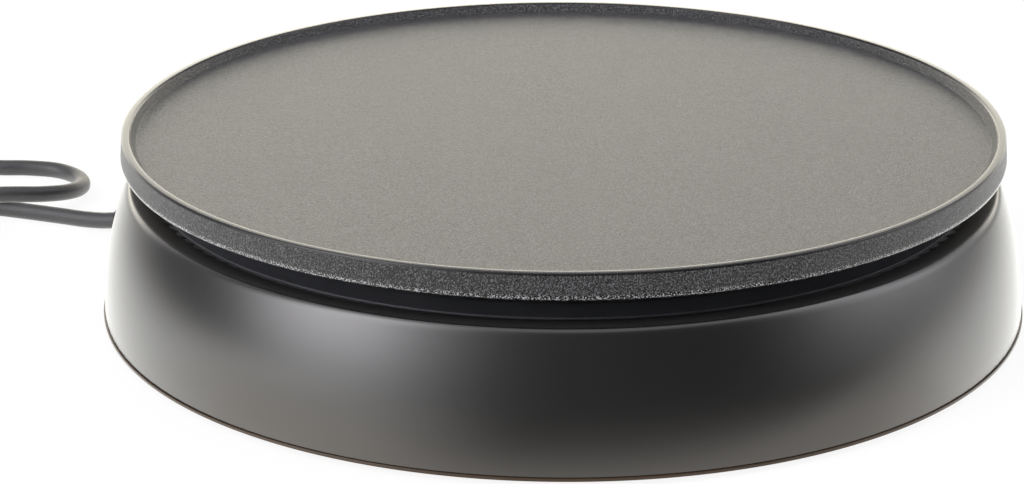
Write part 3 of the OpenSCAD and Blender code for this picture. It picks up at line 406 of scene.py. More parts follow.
def axis_and_height(tree):
    """The distance from the axis and the height of the point that is shaded, in metres."""
    spot = add(tree, "ShaderNodeTexCoord").outputs["Object"]
    flat = add(tree, "ShaderNodeVectorMath", {0: spot, 1: (1.0, 1.0, 0.0)},
               operation="MULTIPLY").outputs[0]
    off_axis = add(tree, "ShaderNodeVectorMath", {0: flat}, operation="LENGTH").outputs["Value"]
    return off_axis, add(tree, "ShaderNodeSeparateXYZ", {0: spot}).outputs["Z"]


def griddle_coating():
    made, tree, shader = new_material("griddle_coating")
    effect = grain_effect(tree, (0.0005, 0.05, 0.0005, 0.46))
    off_axis, height = axis_and_height(tree)
    on_rim = times(tree, spread(tree, off_axis, (LIP_IN_R - 0.6) * MM, LIP_IN_R * MM),
                   spread(tree, height, (TOP_Z - 1.1) * MM, (TOP_Z - 0.7) * MM))
    low_corner = times(tree, spread(tree, height, (SKIRT_Z + 2.3) * MM, (SKIRT_Z + 1.3) * MM),
                       spread(tree, off_axis, (SKIRT_IN_R - 0.8) * MM, (SKIRT_IN_R + 0.2) * MM))
    corners = math_node(tree, "MAXIMUM", on_rim, low_corner)
    rest = math_node(tree, "SUBTRACT", 1.0, corners)
    uneven = between(tree, effect["Grain"], *COATING_ROUGH)
    tree.links.new(blend(tree, corners, uneven, CORNER_ROUGH), shader.inputs["Roughness"])
    ground = mix_colour(tree, effect["Patches"], GROUND_DARK, GROUND_LIGHT)
    # Painted highlight: at the lower corner the flecks turn paler
    fleck = mix_colour(tree, low_corner, FLECK_GREY, FLECK_PAINTED_HIGHLIGHT)
    fleck_share = times(tree, effect["Flecks"], blend(tree, on_rim, 1.0, RIM_FLECKS))
    tree.links.new(mix_colour(tree, fleck_share, ground, fleck), shader.inputs["Base Color"])
    set_relief(tree, shader, times(tree, effect["Grain"], rest), *COATING_BUMP)
    shader.inputs["Specular IOR Level"].default_value = 0.42
    return made


# %% [markdown]
# ## The finishes of this cooker
# - The griddle has a grey non-stick coating with fine mineral flecks, and is bare below.
# - The housing, its bottom cover and the knob are satin black plastic that stands heat; the cover
#   is painted browner, as a painted reflection of warm light from the table.
# - The heat shield is pressed sheet steel with black enamel, and the element's tube is dull steel.
# - Screws and studs are zinc plated, tags and tabs are brass, and blocks are white ceramic.
# - The lead, its relief, the plug and the feet are soft black rubber and vinyl.

# %% Finishes
finishes = {
    "plate": griddle_coating(),
    "base_plastic": finish("satin_black_plastic", (0.0070, 0.0068, 0.0066), (0.014, 0.014, 0.014),
                           (0.20, 0.27), (0.0003, 0.04, 0.0006, 0.05), (0.08, 0.00005), shine=0.9),
    # The cover's brown tint is a painted reflection of warm light from the table
    "cover": finish("cover_plastic", (0.040, 0.024, 0.012), (0.05, 0.03, 0.018),
                    (0.30, 0.40), (0.0004, 0.04, 0.0008, 0.08), (0.1, 0.00006), shine=0.4),
    "bare_casting": finish("cast_aluminium", (0.46, 0.45, 0.43), (0.54, 0.53, 0.51),
                           (0.42, 0.60), (0.0009, 0.03, 0.002, 0.3), (0.4, 0.0002), metal=1.0),
    "heat_shield": finish("black_enamel", (0.060, 0.063, 0.072), (0.075, 0.078, 0.088),
                          (0.42, 0.58), (0.0005, 0.02, 0.001, 0.15), (0.15, 0.00008)),
    "element_sheath": finish("heater_tube_steel", (0.16, 0.15, 0.14), (0.24, 0.20, 0.17),
                             (0.42, 0.6), (0.0004, 0.015, 0.0015, 0.3), (0.2, 0.0001), metal=1.0),
    "steel": finish("zinc_plate", (0.56, 0.57, 0.58), (0.66, 0.66, 0.66),
                    (0.24, 0.4), (0.0003, 0.004, 0.001, 0.2), (0.15, 0.00006), metal=1.0),
    "brass": finish("brass", (0.56, 0.42, 0.18), (0.66, 0.52, 0.26),
                    (0.28, 0.44), (0.0003, 0.006, 0.001, 0.2), (0.12, 0.00006), metal=1.0),
    "ceramic": finish("steatite", (0.66, 0.63, 0.56), (0.72, 0.7, 0.64),
                      (0.4, 0.6), (0.0005, 0.008, 0.0016, 0.2), (0.3, 0.0001)),
    "rubber": finish("black_rubber", (0.020, 0.020, 0.021), (0.035, 0.035, 0.035),
                     (0.52, 0.7), (0.0005, 0.012, 0.0012, 0.15), (0.3, 0.0001)),
    "knob_plastic": finish("knob_plastic", (0.0170, 0.0168, 0.0165), (0.03, 0.03, 0.03),
                           (0.24, 0.34), (0.0003, 0.02, 0.0006, 0.05), (0.1, 0.00005)),
    "marking": finish("white_print", (0.72, 0.72, 0.70), (0.6, 0.6, 0.58),
                      (0.45, 0.6), (0.0003, 0.006, 0.0008, 0.15), (0.1, 0.00004)),
    "cord_jacket": finish("vinyl_jacket", (0.034, 0.034, 0.036), (0.05, 0.05, 0.052),
                          (0.40, 0.54), (0.0006, 0.03, 0.0014, 0.12), (0.2, 0.00008)),
    "core_brown": finish("brown_core", (0.17, 0.07, 0.03), (0.22, 0.1, 0.05),
                         (0.38, 0.5), (0.0005, 0.01, 0.001, 0.1), (0.1, 0.00005)),
    "core_blue": finish("blue_core", (0.03, 0.13, 0.42), (0.06, 0.17, 0.5),
                        (0.38, 0.5), (0.0005, 0.01, 0.001, 0.1), (0.1, 0.00005)),
    "core_green": finish("green_core", (0.10, 0.34, 0.05), (0.5, 0.45, 0.05),
                         (0.38, 0.5), (0.0005, 0.01, 0.004, 0.5), (0.1, 0.00005)),
    "pins": finish("nickel_pins", (0.62, 0.60, 0.56), (0.7, 0.68, 0.64),
                   (0.14, 0.26), (0.0003, 0.006, 0.001, 0.15), (0.08, 0.00004), metal=1.0),
}
print("finishes:", len(finishes))

# %% [markdown]
# ## Finish of the pilot lamp
# The lamp's lens is deep red plastic, lit from within only while the griddle heats up. Here the
# griddle is off, so it is made as a solid red with a smooth skin, and shows no light of its own.

# %% Lamp lens finish
finishes["lamp_lens"], tree, shader = new_material("red_lens")
shader.inputs["Base Color"].default_value = (0.42, 0.010, 0.006, 1)
shader.inputs["Roughness"].default_value = 0.10
shader.inputs["IOR"].default_value = 1.49
print("finishes with the lens:", len(finishes))

# %% [markdown]
# ## Inner faces
# Two finishes change with the distance from the axis. The housing's mould is polished only where
# it shows, so inside the gap its plastic is matt, and its colour is painted darker there as
# painted shade under the griddle. A ring of the bare casting over the gap is painted dark and
# matt, also as painted shade, so that the gap under the griddle shows dark. A mask that runs
# from 0 to 1 across that distance, above a set height, mixes the two looks.

# %% Masks by distance from the axis
# In millimetres: the distances where a change starts and is whole, and the height it keeps above
# Both masks paint shade: the housing inside the gap and a ring of the casting over it are darkened
SHADE_MATT_FROM, SHADE_MATT_WHOLE, SHADE_MATT_ABOVE = 163.2, 162.0, 50.0
UNDER_SHADE_FROM, UNDER_SHADE_WHOLE, UNDER_SHADE_ABOVE = 142.5, 147.5, 1.0
SOFT_STEP = 0.5


def by_distance(name, start, whole, above, changes):
    """Mixes new values into inputs of a finish, as {input: value}.

    The mask grows from the distance start to the distance whole, and holds from there onwards,
    but only at heights over above."""
    tree = finishes[name].node_tree
    shader = tree.nodes["Principled BSDF"]
    off_axis, height = axis_and_height(tree)
    mask = times(tree, spread(tree, off_axis, start * MM, whole * MM),
                 spread(tree, height, (above - SOFT_STEP) * MM, above * MM))
    for label, value in changes.items():
        before = shader.inputs[label]
        kept = before.links[0].from_socket if before.links else before.default_value
        mix = mix_colour if label == "Base Color" else blend
        tree.links.new(mix(tree, mask, kept, value), before)


# Painted shade: inside the gap the housing's plastic is darker, as well as matt
by_distance("base_plastic", SHADE_MATT_FROM, SHADE_MATT_WHOLE, SHADE_MATT_ABOVE, {
    "Base Color": (0.004, 0.004, 0.004), "Roughness": 0.7})
# Painted shade: a ring of the bare casting over the gap is dark and matt
by_distance("bare_casting", UNDER_SHADE_FROM, UNDER_SHADE_WHOLE, UNDER_SHADE_ABOVE, {
    "Base Color": (0.012, 0.012, 0.012), "Roughness": 0.6, "Metallic": 0.0})
print("inner faces: painted shade on the housing and the casting's edge")

# %% [markdown]
# ## Each part gets its finish
# The imported record says which slot each part takes its finish from, and the slots have the names
# of the finishes above. A part keeps its mesh and only its material is set. The bottom cover has a
# finish of its own, browner than the housing, which paints the warm light that the table throws
# back onto its low rim.

# %% Finishes on the parts
slot_of = {row["node"]: row["material_slot"] for row in frame["record"]["subparts"]}
for part, obj in nodes.items():
    obj.data.materials.clear()
    # The bottom cover's browner finish paints the warm light the table throws onto it
    obj.data.materials.append(finishes["cover" if part == "bottom_cover" else slot_of[part]])
mains_lead.data.materials.append(finishes["cord_jacket"])
print("parts with a finish:", len(slot_of))


# %% [markdown]
# ## Turned parts
# The griddle, the rim of the bottom cover, the edge of the heat shield and the lamp's lens are
# round, so each follows one rule: an outline goes round an axis. A geometry tree does that. It
# lays out a grid with one row for each point of the outline and one column for each step round
# the axis, moves each point of the grid to its place, and joins the seam and the poles. Edges
# sharper than a set angle stay crisp and the rest are smooth. The outline runs from the bottom of
# the axis outwards, up, and back to the axis, or round a ring's section back to its first point.

# %% Tree for turned parts: places of the points
# In metres: points that lie closer together than this become one
MERGE_WITHIN = 0.000002
turned, source, result = new_tree("turned_part", "GeometryNodeTree", {
    "Outline": ("NodeSocketGeometry", None),
    "Steps Round": ("NodeSocketInt", 180),
    "Sharp Above": ("NodeSocketFloat", math.radians(35)),
    "Finish": ("NodeSocketMaterial", None),
}, {"Part": "NodeSocketGeometry"})
rows = add(turned, "GeometryNodeAttributeDomainSize", {
    "Geometry": source["Outline"]}).outputs["Point Count"]
columns = math_node(turned, "ADD", source["Steps Round"], 1)
grid = add(turned, "GeometryNodeMeshGrid", {"Vertices X": columns, "Vertices Y": rows})
index = add(turned, "GeometryNodeInputIndex").outputs[0]
row = math_node(turned, "FLOORED_MODULO", index, rows)
column = math_node(turned, "FLOOR", math_node(turned, "DIVIDE", index, rows))
place = add(turned, "GeometryNodeInputPosition").outputs[0]
sampled = add(turned, "GeometryNodeSampleIndex", {
    "Geometry": source["Outline"], "Index": row}, data_type="FLOAT_VECTOR")
turned.links.new(place, sampled.inputs["Value"])
parts = add(turned, "ShaderNodeSeparateXYZ", {0: sampled.outputs[0]}).outputs
angle = times(turned, math_node(turned, "DIVIDE", column, source["Steps Round"]), 2 * math.pi)
moved = add(turned, "GeometryNodeSetPosition", {
    "Geometry": grid.outputs["Mesh"],
    "Position": round_place(turned, parts["X"], angle, parts["Z"])}).outputs[0]
print("nodes that place the points:", len(turned.nodes))

# %% Tree for turned parts: seam, crisp edges and finish
closed = add(turned, "GeometryNodeMergeByDistance", {
    "Geometry": moved, "Distance": MERGE_WITHIN}).outputs[0]
bent = add(turned, "GeometryNodeInputMeshEdgeAngle").outputs["Unsigned Angle"]
crisp = add(turned, "FunctionNodeCompare", {0: bent, 1: source["Sharp Above"]},
            data_type="FLOAT", operation="GREATER_THAN").outputs[0]
smooth = add(turned, "GeometryNodeSetShadeSmooth", {
    "Geometry": closed, "Shade Smooth": True}, domain="FACE").outputs[0]
edged = add(turned, "GeometryNodeSetShadeSmooth", {
    "Geometry": smooth, "Selection": crisp, "Shade Smooth": False}, domain="EDGE").outputs[0]
whole = add(turned, "GeometryNodeRealizeInstances", {"Geometry": edged}).outputs[0]
dressed = add(turned, "GeometryNodeSetMaterial", {
    "Geometry": whole, "Material": source["Finish"]}).outputs[0]
turned.links.new(dressed, result.inputs["Part"])
print("nodes in all:", len(turned.nodes))


# %% Turning a part
def turn(name, outline, steps, finish_name, sharp=35):
    """A turned part from an outline of (radius, height) in millimetres."""
    points = [(r, 0, z) for r, z in outline]
    obj = as_object(name, points, edges=[(i, i + 1) for i in range(len(points) - 1)])
    grow(obj, turned, {
        "Steps Round": steps, "Sharp Above": math.radians(sharp),
        "Finish": finishes[finish_name],
    })
    return obj


def corner(centre, radius, start, end, steps):
    """Points round a corner of the outline, from one angle to another in degrees."""
    turns = [math.radians(start + (end - start) * i / steps) for i in range(steps + 1)]
    return [(centre[0] + radius * math.cos(a), centre[1] + radius * math.sin(a)) for a in turns]


def line(a, b, count):
    """Points from a to b, without b."""
    return [(a[0] + (b[0] - a[0]) * i / count, a[1] + (b[1] - a[1]) * i / count)
            for i in range(count)]


def ring_outline(r_in, r_out, low, top, low_round, top_round, low_steps):
    """The section of a flat ring, with its two outer corners rounded."""
    return [(r_in, low),
            *corner((r_out - low_round, low + low_round), low_round, -90, 0, low_steps),
            *corner((r_out - top_round, top - top_round), top_round, 0, 90, 4),
            (r_in, top), (r_in, low)]


# %% [markdown]
# ## Griddle
# The griddle is one casting: a flat floor, a low sloping rim all round that keeps the batter in,
# and a skirt that reaches down over the gap. Only its roundings differ from a plain outline, and
# they matter, because the rim's narrow top catches the light as a thin bright line.

# %% Griddle: outline and body
# The small offsets lay the sloping faces against the roundings at their ends
griddle_outline = [
    *line((0, CAST_Z), (SKIRT_IN_R, CAST_Z), 12),
    (SKIRT_IN_R, CAST_Z), (SKIRT_IN_R + 1, SKIRT_Z + 0.1), (SKIRT_IN_R + 1.2, SKIRT_Z),
    *corner((SKIRT_R - LOW_EDGE_R, SKIRT_Z + LOW_EDGE_R), LOW_EDGE_R, -90, 0, 7),
    *line((SKIRT_R, SKIRT_Z + LOW_EDGE_R + 0.1), (PLATE_R, TOP_Z - EDGE_R), 6),
    *corner((PLATE_R - EDGE_R, TOP_Z - EDGE_R), EDGE_R, 4, 90, 7),
    (LIP_IN_R + 1.2, TOP_Z),
    *corner((LIP_IN_R + LIP_ROUND, TOP_Z - LIP_ROUND), LIP_ROUND, 90, 90 + RIM_TURN, 4),
    *line((LIP_IN_R + 0.02, TOP_Z - 0.3), (DISH_R + 0.42, FLOOR_Z + 0.58), 4),
    *corner((DISH_R - 0.56, FLOOR_Z + DISH_ROUND), DISH_ROUND, RIM_TURN - 90, -90, 5),
    *line((DISH_R - DISH_ROUND, FLOOR_Z), (0, FLOOR_Z), 24),
    (0, FLOOR_Z),
]
griddle = turn("griddle", griddle_outline, 288, "plate", sharp=40)
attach(griddle, "body")
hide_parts("griddle_plate")

# %% [markdown]
# ## Underside of the griddle
# Below, the casting is bare: it has the ridge that holds the heating element, ribs that spread the
# heat, and bosses for the studs and the clips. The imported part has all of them, so its downward
# faces are copied, and a thin rim and a top close them into a solid that meets the coated part.

# %% Griddle: underside
# Faces higher up or further out than this belong to the coated part
COATED_ABOVE = UNDER_Z + 0.01
COATED_BEYOND = SKIRT_IN_R - 0.1
CRISP = math.radians(32)
shape = bmesh.new()
shape.from_mesh(nodes["griddle_plate"].data)
bmesh.ops.remove_doubles(shape, verts=shape.verts, dist=MERGE_WITHIN)
coated = [f for f in shape.faces if f.calc_center_median().z > COATED_ABOVE * MM
          or f.calc_center_median().xy.length > COATED_BEYOND * MM]
bmesh.ops.delete(shape, geom=coated, context="FACES")
rim_edges = [e for e in shape.edges if e.is_boundary]
raised = bmesh.ops.extrude_edge_only(shape, edges=rim_edges)["geom"]
bmesh.ops.translate(shape, vec=(0, 0, (CAST_Z - UNDER_Z) * MM),
                    verts=[g for g in raised if isinstance(g, bmesh.types.BMVert)])
bmesh.ops.holes_fill(shape, edges=[e for e in shape.edges if e.is_boundary], sides=0)
bmesh.ops.recalc_face_normals(shape, faces=shape.faces)
underside_mesh = bpy.data.meshes.new("griddle_underside")
shape.to_mesh(underside_mesh)
print("open edges below the griddle:", sum(e.is_boundary for e in shape.edges))
shape.free()
underside_mesh.shade_smooth()
underside_mesh.set_sharp_from_angle(angle=CRISP)
underside_mesh.materials.append(finishes["bare_casting"])
underside = in_scene("griddle_underside", underside_mesh)
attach(underside, "body")
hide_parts("griddle_plate")

# %% [markdown]
# ## Moulded parts
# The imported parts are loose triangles. A copy of such a part, with its corners joined and its
# gentle edges smoothed, keeps every rib, post and hole of the moulding and shades as one skin.

# %% Smooth copies
def smooth_copy(part, name):
    """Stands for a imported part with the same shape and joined, smooth faces."""
    mesh = nodes[part].data.copy()
    mesh.name = name
    shape = bmesh.new()
    shape.from_mesh(mesh)
    bmesh.ops.remove_doubles(shape, verts=shape.verts, dist=MERGE_WITHIN)
    shape.to_mesh(mesh)
    shape.free()
    mesh.shade_smooth()
    mesh.set_sharp_from_angle(angle=CRISP)
    copy = in_scene(name, mesh)
    body = next(b for b, parts in frame["record"]["behaviour"]["bodies"].items() if part in parts)
    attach(copy, body)
    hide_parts(part)
    return copy


shell = smooth_copy("base_shell", "base_shell_skin")
print("points of the housing:", len(shell.data.vertices))

# %% [markdown]
# ## Shoulder of the housing
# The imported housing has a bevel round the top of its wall. The real moulding has a soft shoulder,
# which draws the light out into a broad band. A bevel modifier would have to be kept off every
# other edge, so the rows of points on the bevel move onto a curve instead, which starts along the
# wall and ends along the flat top. At the control panel they stay in place. The panel meets the
# wall at a blunt angle, yet its edges are crisp, so they are marked sharp.

# %% Soft shoulder
# Radius and height of the bevel's two ends, and its run: its width and its height together
BEVEL_FROM, BEVEL_TO, BEVEL_RUN = (164.4, 50.0), (162.7, 51.7), 3.4
SHOULDER = ((164.95, 48.75), (163.66, 51.7), (161.9, 51.7))
# The bevel's inner rows, as a share of its run from the nearer end, and how far they go along
LOW_ROW, HIGH_ROW, ROW_GOES = 0.147, 0.088, 0.4
BEVEL_TOL = 0.05
# How far back the shoulder has faded out, and the length over which it fades
SHOULDER_Y, SHOULDER_FADE = 140, 15


def on_shoulder(along):
    """Radius and height of the shoulder for a point that lies so far along the bevel."""
    if along < 0.5:
        t = ROW_GOES * min(along / LOW_ROW, 1)
    else:
        t = 1 - ROW_GOES * min((1 - along) / HIGH_ROW, 1)
    return [(1 - t) ** 2 * a + 2 * t * (1 - t) * b + t * t * c for a, b, c in zip(*SHOULDER)]


moved_points = 0
for v in shell.data.vertices:
    r, z = v.co.xy.length / MM, v.co.z / MM
    if z < BEVEL_FROM[1] - BEVEL_TOL or r < BEVEL_TO[0] - BEVEL_TOL:
        continue
    goal_r, goal_z = on_shoulder((BEVEL_FROM[0] - r + z - BEVEL_FROM[1]) / BEVEL_RUN)
    share = min(max((SHOULDER_Y - v.co.y / MM) / SHOULDER_FADE, 0), 1)
    v.co.xy *= (r + (goal_r - r) * share) / r
    v.co.z = (z + (goal_z - z) * share) * MM
    moved_points += 1
print("points on the shoulder:", moved_points)

# %% Crisp edges of the control panel
# Further back than this, an edge that is bent by more than this angle is crisp
PANEL_FROM_Y = 145
PANEL_CRISP = math.radians(14)
shape = bmesh.new()
shape.from_mesh(shell.data)
panel_edges = [e for e in shape.edges if e.is_manifold and e.calc_face_angle() > PANEL_CRISP
               and min(v.co.y for v in e.verts) > PANEL_FROM_Y * MM]
for e in panel_edges:
    e.smooth = False
shape.to_mesh(shell.data)
shape.free()
print("crisp edges at the back:", len(panel_edges))

# %% The other moulded parts
OTHER_PARTS = ("bottom_cover", "rubber_feet", "control_knob", "knob_pointer",
               "strain_relief", "plug_body", "plug_pins", "heat_shield")
for part in OTHER_PARTS:
    smooth_copy(part, part + "_skin")
print("smooth copies:", 1 + len(OTHER_PARTS))

# %% [markdown]
# ## Rim of the bottom cover
# The bottom cover ends in a thin rim that stands half a millimetre proud of the housing, with a
# fine groove above it where the two mouldings meet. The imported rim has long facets, which a line
# this thin would show as dashes, so the copy's rim is drawn in under the housing and a finely
# turned rim takes its place. At the control panel the rim runs straight, so there its points are
# held back at the panel.

# %% Cover rim
RIM_R = 174.8
RIM_IN_R = 172.8
RIM_LOW = 2.0
RIM_TOP = 3.2
RIM_LOW_ROUND, RIM_TOP_ROUND = 0.3, 0.2
HIDDEN_R = 173.6
PANEL_RIM_Y = 157.6
for v in bpy.data.objects["bottom_cover_skin"].data.vertices:
    if v.co.xy.length > (RIM_R - 0.5) * MM or v.co.y > (PANEL_RIM_Y - 0.3) * MM:
        v.co.xy *= HIDDEN_R / RIM_R
cover_rim = turn("cover_rim", ring_outline(
    RIM_IN_R, RIM_R, RIM_LOW, RIM_TOP, RIM_LOW_ROUND, RIM_TOP_ROUND, 4), 360, "cover")
for v in cover_rim.data.vertices:
    v.co.y = min(v.co.y, PANEL_RIM_Y * MM - (RIM_R * MM - v.co.xy.length))
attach(cover_rim, "body")
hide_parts("bottom_cover")

# %% [markdown]
# ## Edge of the heat shield
# The shield's flat edge shows through the gap under the griddle, as a fine line. A finely turned
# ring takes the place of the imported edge, which is drawn in behind it.

# %% Shield edge
SHIELD_R = 154.0
SHIELD_TOP = 51.72
SHIELD_LOW = 50.92
SHIELD_IN_R = SHIELD_R - 1.6
SHIELD_LOW_ROUND, SHIELD_TOP_ROUND = 0.15, 0.25
DRAWN_IN = 0.8
for v in bpy.data.objects["heat_shield_skin"].data.vertices:
    if v.co.xy.length > (SHIELD_R - 0.1) * MM:
        v.co.xy *= (SHIELD_R - DRAWN_IN) / SHIELD_R
shield_edge = turn("shield_edge", ring_outline(
    SHIELD_IN_R, SHIELD_R, SHIELD_LOW, SHIELD_TOP, SHIELD_LOW_ROUND, SHIELD_TOP_ROUND, 3),
    288, "heat_shield")
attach(shield_edge, "body")
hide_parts("heat_shield")

# %% [markdown]
# ## Lens of the pilot lamp
# The lens is pushed into a hole of the control panel: a stem inside, a thin rim that lies on the
# panel's face, and a low dome in front. A flattened ball would do for the dome alone, but one
# outline for stem, rim and dome makes a single closed piece, turned as the griddle is. It is
# turned upright and then tipped, so that its axis points straight out of the panel.

# %% Lens of the pilot lamp
PANEL_Y = 157.0
KNOB_Z = 25.0
LAMP_X = 38.0
LENS_R = 4.4
LENS_RIM_R = 5.7
LENS_RIM_H = 1.0
LENS_ROUND = 0.3
LENS_IN = 7.6
# The dome is a cap of a ball whose middle lies behind the panel's face, from this angle upwards
DOME_R, DOME_BACK, DOME_STARTS = 5.5, 2.3, 36.87
lamp_lens = turn("lamp_lens_skin", [
    (0, -LENS_IN), (LENS_R, -LENS_IN), (LENS_R, 0), (LENS_RIM_R, 0),
    *corner((LENS_RIM_R - LENS_ROUND, LENS_RIM_H - LENS_ROUND), LENS_ROUND, 0, 90, 4),
    (LENS_R, LENS_RIM_H), *corner((0, -DOME_BACK), DOME_R, DOME_STARTS, 90, 14),
], 96, "lamp_lens")
lamp_lens.data.transform(Matrix.Translation((LAMP_X * MM, PANEL_Y * MM, KNOB_Z * MM))
                         @ Matrix.Rotation(math.radians(-90), 4, "X"))
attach(lamp_lens, "body")
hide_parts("lamp_lens")

# %% [markdown]
# ## Marks round the knob
# The control panel has a printed scale round the knob: bars that grow with the heat, a 0 where
# the knob is off and a 5 where it is hottest. The bars repeat round an arc, so a geometry tree
# lays them out: points on the arc, one small bar on each, turned to point at the knob and longer
# from step to step. They stand a twentieth of a millimetre proud, as thick print does.

# %% Tree for bars on an arc
# The modifier hands over the mesh that it sits on as Base, which the bars don't need
bars_tree, source, result = new_tree("bars_on_arc", "GeometryNodeTree", {
    "Base": ("NodeSocketGeometry", None),
    "Count": ("NodeSocketInt", 21),
    "Inner Radius": ("NodeSocketFloat", 0.0196),
    "First Angle": ("NodeSocketFloat", 0.0),
    "Last Angle": ("NodeSocketFloat", math.pi),
    "Bar Size": ("NodeSocketVector", (0.002, 0.0005, 0.0001)),
    "First Length": ("NodeSocketFloat", 0.4),
    "Finish": ("NodeSocketMaterial", None),
}, {"Part": "NodeSocketGeometry"})
index = add(bars_tree, "GeometryNodeInputIndex").outputs[0]
last = math_node(bars_tree, "SUBTRACT", source["Count"], 1.0)
along = math_node(bars_tree, "DIVIDE", index, last)
angle = between(bars_tree, along, source["First Angle"], source["Last Angle"])
length = between(bars_tree, along, source["First Length"], 1.0)
full = add(bars_tree, "ShaderNodeSeparateXYZ", {0: source["Bar Size"]}).outputs["X"]
middle = math_node(bars_tree, "ADD", source["Inner Radius"], times(bars_tree, full, length, 0.5))
spots = add(bars_tree, "GeometryNodePoints", {
    "Count": source["Count"], "Position": round_place(bars_tree, middle, angle)}).outputs[0]
bar = add(bars_tree, "GeometryNodeMeshCube", {"Size": source["Bar Size"]}).outputs["Mesh"]
bars = add(bars_tree, "GeometryNodeInstanceOnPoints", {
    "Points": spots, "Instance": bar,
    "Rotation": add(bars_tree, "ShaderNodeCombineXYZ", {"Z": angle}).outputs[0],
    "Scale": add(bars_tree, "ShaderNodeCombineXYZ", {"X": length, "Y": 1.0, "Z": 1.0}).outputs[0],
}).outputs[0]
whole = add(bars_tree, "GeometryNodeRealizeInstances", {"Geometry": bars}).outputs[0]
dressed = add(bars_tree, "GeometryNodeSetMaterial", {
    "Geometry": whole, "Material": source["Finish"]}).outputs[0]
bars_tree.links.new(dressed, result.inputs["Part"])
print("nodes for the bars:", len(bars_tree.nodes))

# %% Scale on the control panel
SCALE_IN_R = 19.8
SCALE_FROM, SCALE_TURN = 90, 270
BARS = 21
BAR_L, BAR_W = 1.8, 0.5
PRINT_H = 0.05
# Seen from behind the cooker, the print's own X points right and its Y up
panel_place = Matrix.Translation((0, PANEL_Y * MM, KNOB_Z * MM)) @ Matrix((
    (-1, 0, 0), (0, 0, 1), (0, 1, 0))).to_4x4()


def print_on_panel(obj):
    obj.data.transform(panel_place)
    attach(obj, "body")


scale = as_object("scale_bars", [(0, 0, 0)])
grow(scale, bars_tree, {
    "Count": BARS, "Inner Radius": SCALE_IN_R * MM, "First Angle": math.radians(SCALE_FROM),
    "Last Angle": math.radians(SCALE_FROM - SCALE_TURN),
    "Bar Size": (BAR_L * MM, BAR_W * MM, 2 * PRINT_H * MM),
    "First Length": 0.35, "Finish": finishes["marking"],
})
print_on_panel(scale)

# %% Numbers of the scale
LETTER_H = 4.2
# What is printed, its bearing on the panel in degrees and its distance from the knob's axis
NUMBERS = (("0", 90, 23.4), ("5", -180, 24.2))
for number, turned_to, out in NUMBERS:
    letter = bpy.data.curves.new("number_" + number, "FONT")
    letter.body = number
    letter.size = LETTER_H * MM
    letter.extrude = PRINT_H * MM
    letter.align_x = letter.align_y = "CENTER"
    holder = in_scene("number_holder", letter)
    seen = bpy.context.evaluated_depsgraph_get()
    mesh = bpy.data.meshes.new_from_object(holder.evaluated_get(seen))
    bpy.data.objects.remove(holder)
    mesh.materials.clear()
    mesh.materials.append(finishes["marking"])
    a = math.radians(turned_to)
    mesh.transform(Matrix.Translation((out * MM * math.cos(a), out * MM * math.sin(a), 0)))
    print_on_panel(in_scene("number_" + number, mesh))
print("numbers on the panel:", len(NUMBERS))

# %% [markdown]
# ## The plug
# The plug lies beside the coil, and like the coil it is kept out of the housing's gloss.

# %% Plug: out of the gloss
plug_pieces = ["plug_body_skin", "plug_pins_skin"]
for piece in plug_pieces:
    bpy.data.objects[piece].visible_glossy = False

# %% [markdown]
# ## Table and light
# The table is plain white. To the camera it shows mostly its own white, and a small share of it
# is lit as a real surface is, which keeps the cooker's soft shadow. The room is a light studio:
# a white wall behind, a tall soft light at the left, a weaker one at the right, and a dim side
# where the camera stands, so the black housing shows as a dark body with bright flanks. How
# bright the room is goes by the bearing, which is the angle round the room from the camera's
# side, so a helper turns a direction into a bearing and another looks up a level on a ramp.

# %% Helpers for light
BRIGHTEST = 6.0


def bearing(tree, direction):
    """The angle round the room from the camera's side, as a share from 0 to 1; 0.5 is ahead."""
    axes = add(tree, "ShaderNodeSeparateXYZ", {0: direction}).outputs
    turned_by = math_node(tree, "ARCTAN2", axes["X"], times(tree, axes["Y"], -1.0))
    return add(tree, "ShaderNodeMapRange", {
        "Value": turned_by, "From Min": -math.pi, "From Max": math.pi}).outputs["Result"]


def level_ramp(tree, share, stops):
    """A level that follows (share, level) stops. A ramp holds only 0 to 1, so it is scaled."""
    ramp = add(tree, "ShaderNodeValToRGB", {"Fac": share})
    marks = ramp.color_ramp.elements
    for i, (where, level_there) in enumerate(stops):
        mark = marks[i] if i < 2 else marks.new(where)
        mark.position = where
        mark.color = (*[level_there / BRIGHTEST] * 3, 1)
    return times(tree, ramp.outputs["Color"], BRIGHTEST)


def round_share(degrees):
    return (degrees + 180) / 360


# %% Levels of the room
# By bearing in degrees, left negative: the level at the table's height, and the level higher up
ROUND_ROOM = [
    (-180, 1.55, 0.9), (-158, 1.75, 1.0), (-135, 1.1, 1.0), (-118, 0.3, 0.32),
    (-100, 0.32, 0.5), (-88, 0.6, 1.5), (-76, 1.85, 4.4), (-64, 2.8, 6.0), (-50, 2.6, 5.2),
    (-38, 1.6, 2.4), (-27, 0.7, 1.0), (-16, 0.3, 0.32), (0, 0.21, 0.19), (18, 0.16, 0.14),
    (35, 0.14, 0.12), (48, 0.18, 0.15), (60, 0.46, 0.5), (70, 0.76, 1.4), (84, 0.95, 2.4),
    (100, 1.1, 2.8), (116, 0.85, 1.5), (140, 0.8, 0.7), (162, 0.55, 0.5), (180, 1.55, 0.9),
]
LOW_LEVELS = [(round_share(degrees), low) for degrees, low, _ in ROUND_ROOM]
HIGH_LEVELS = [(round_share(degrees), high) for degrees, _, high in ROUND_ROOM]
OVERHEAD = 1.3
HIGH_BEHIND = 0.7
WALL_BEHIND = 3.7
print("room levels:", len(ROUND_ROOM))

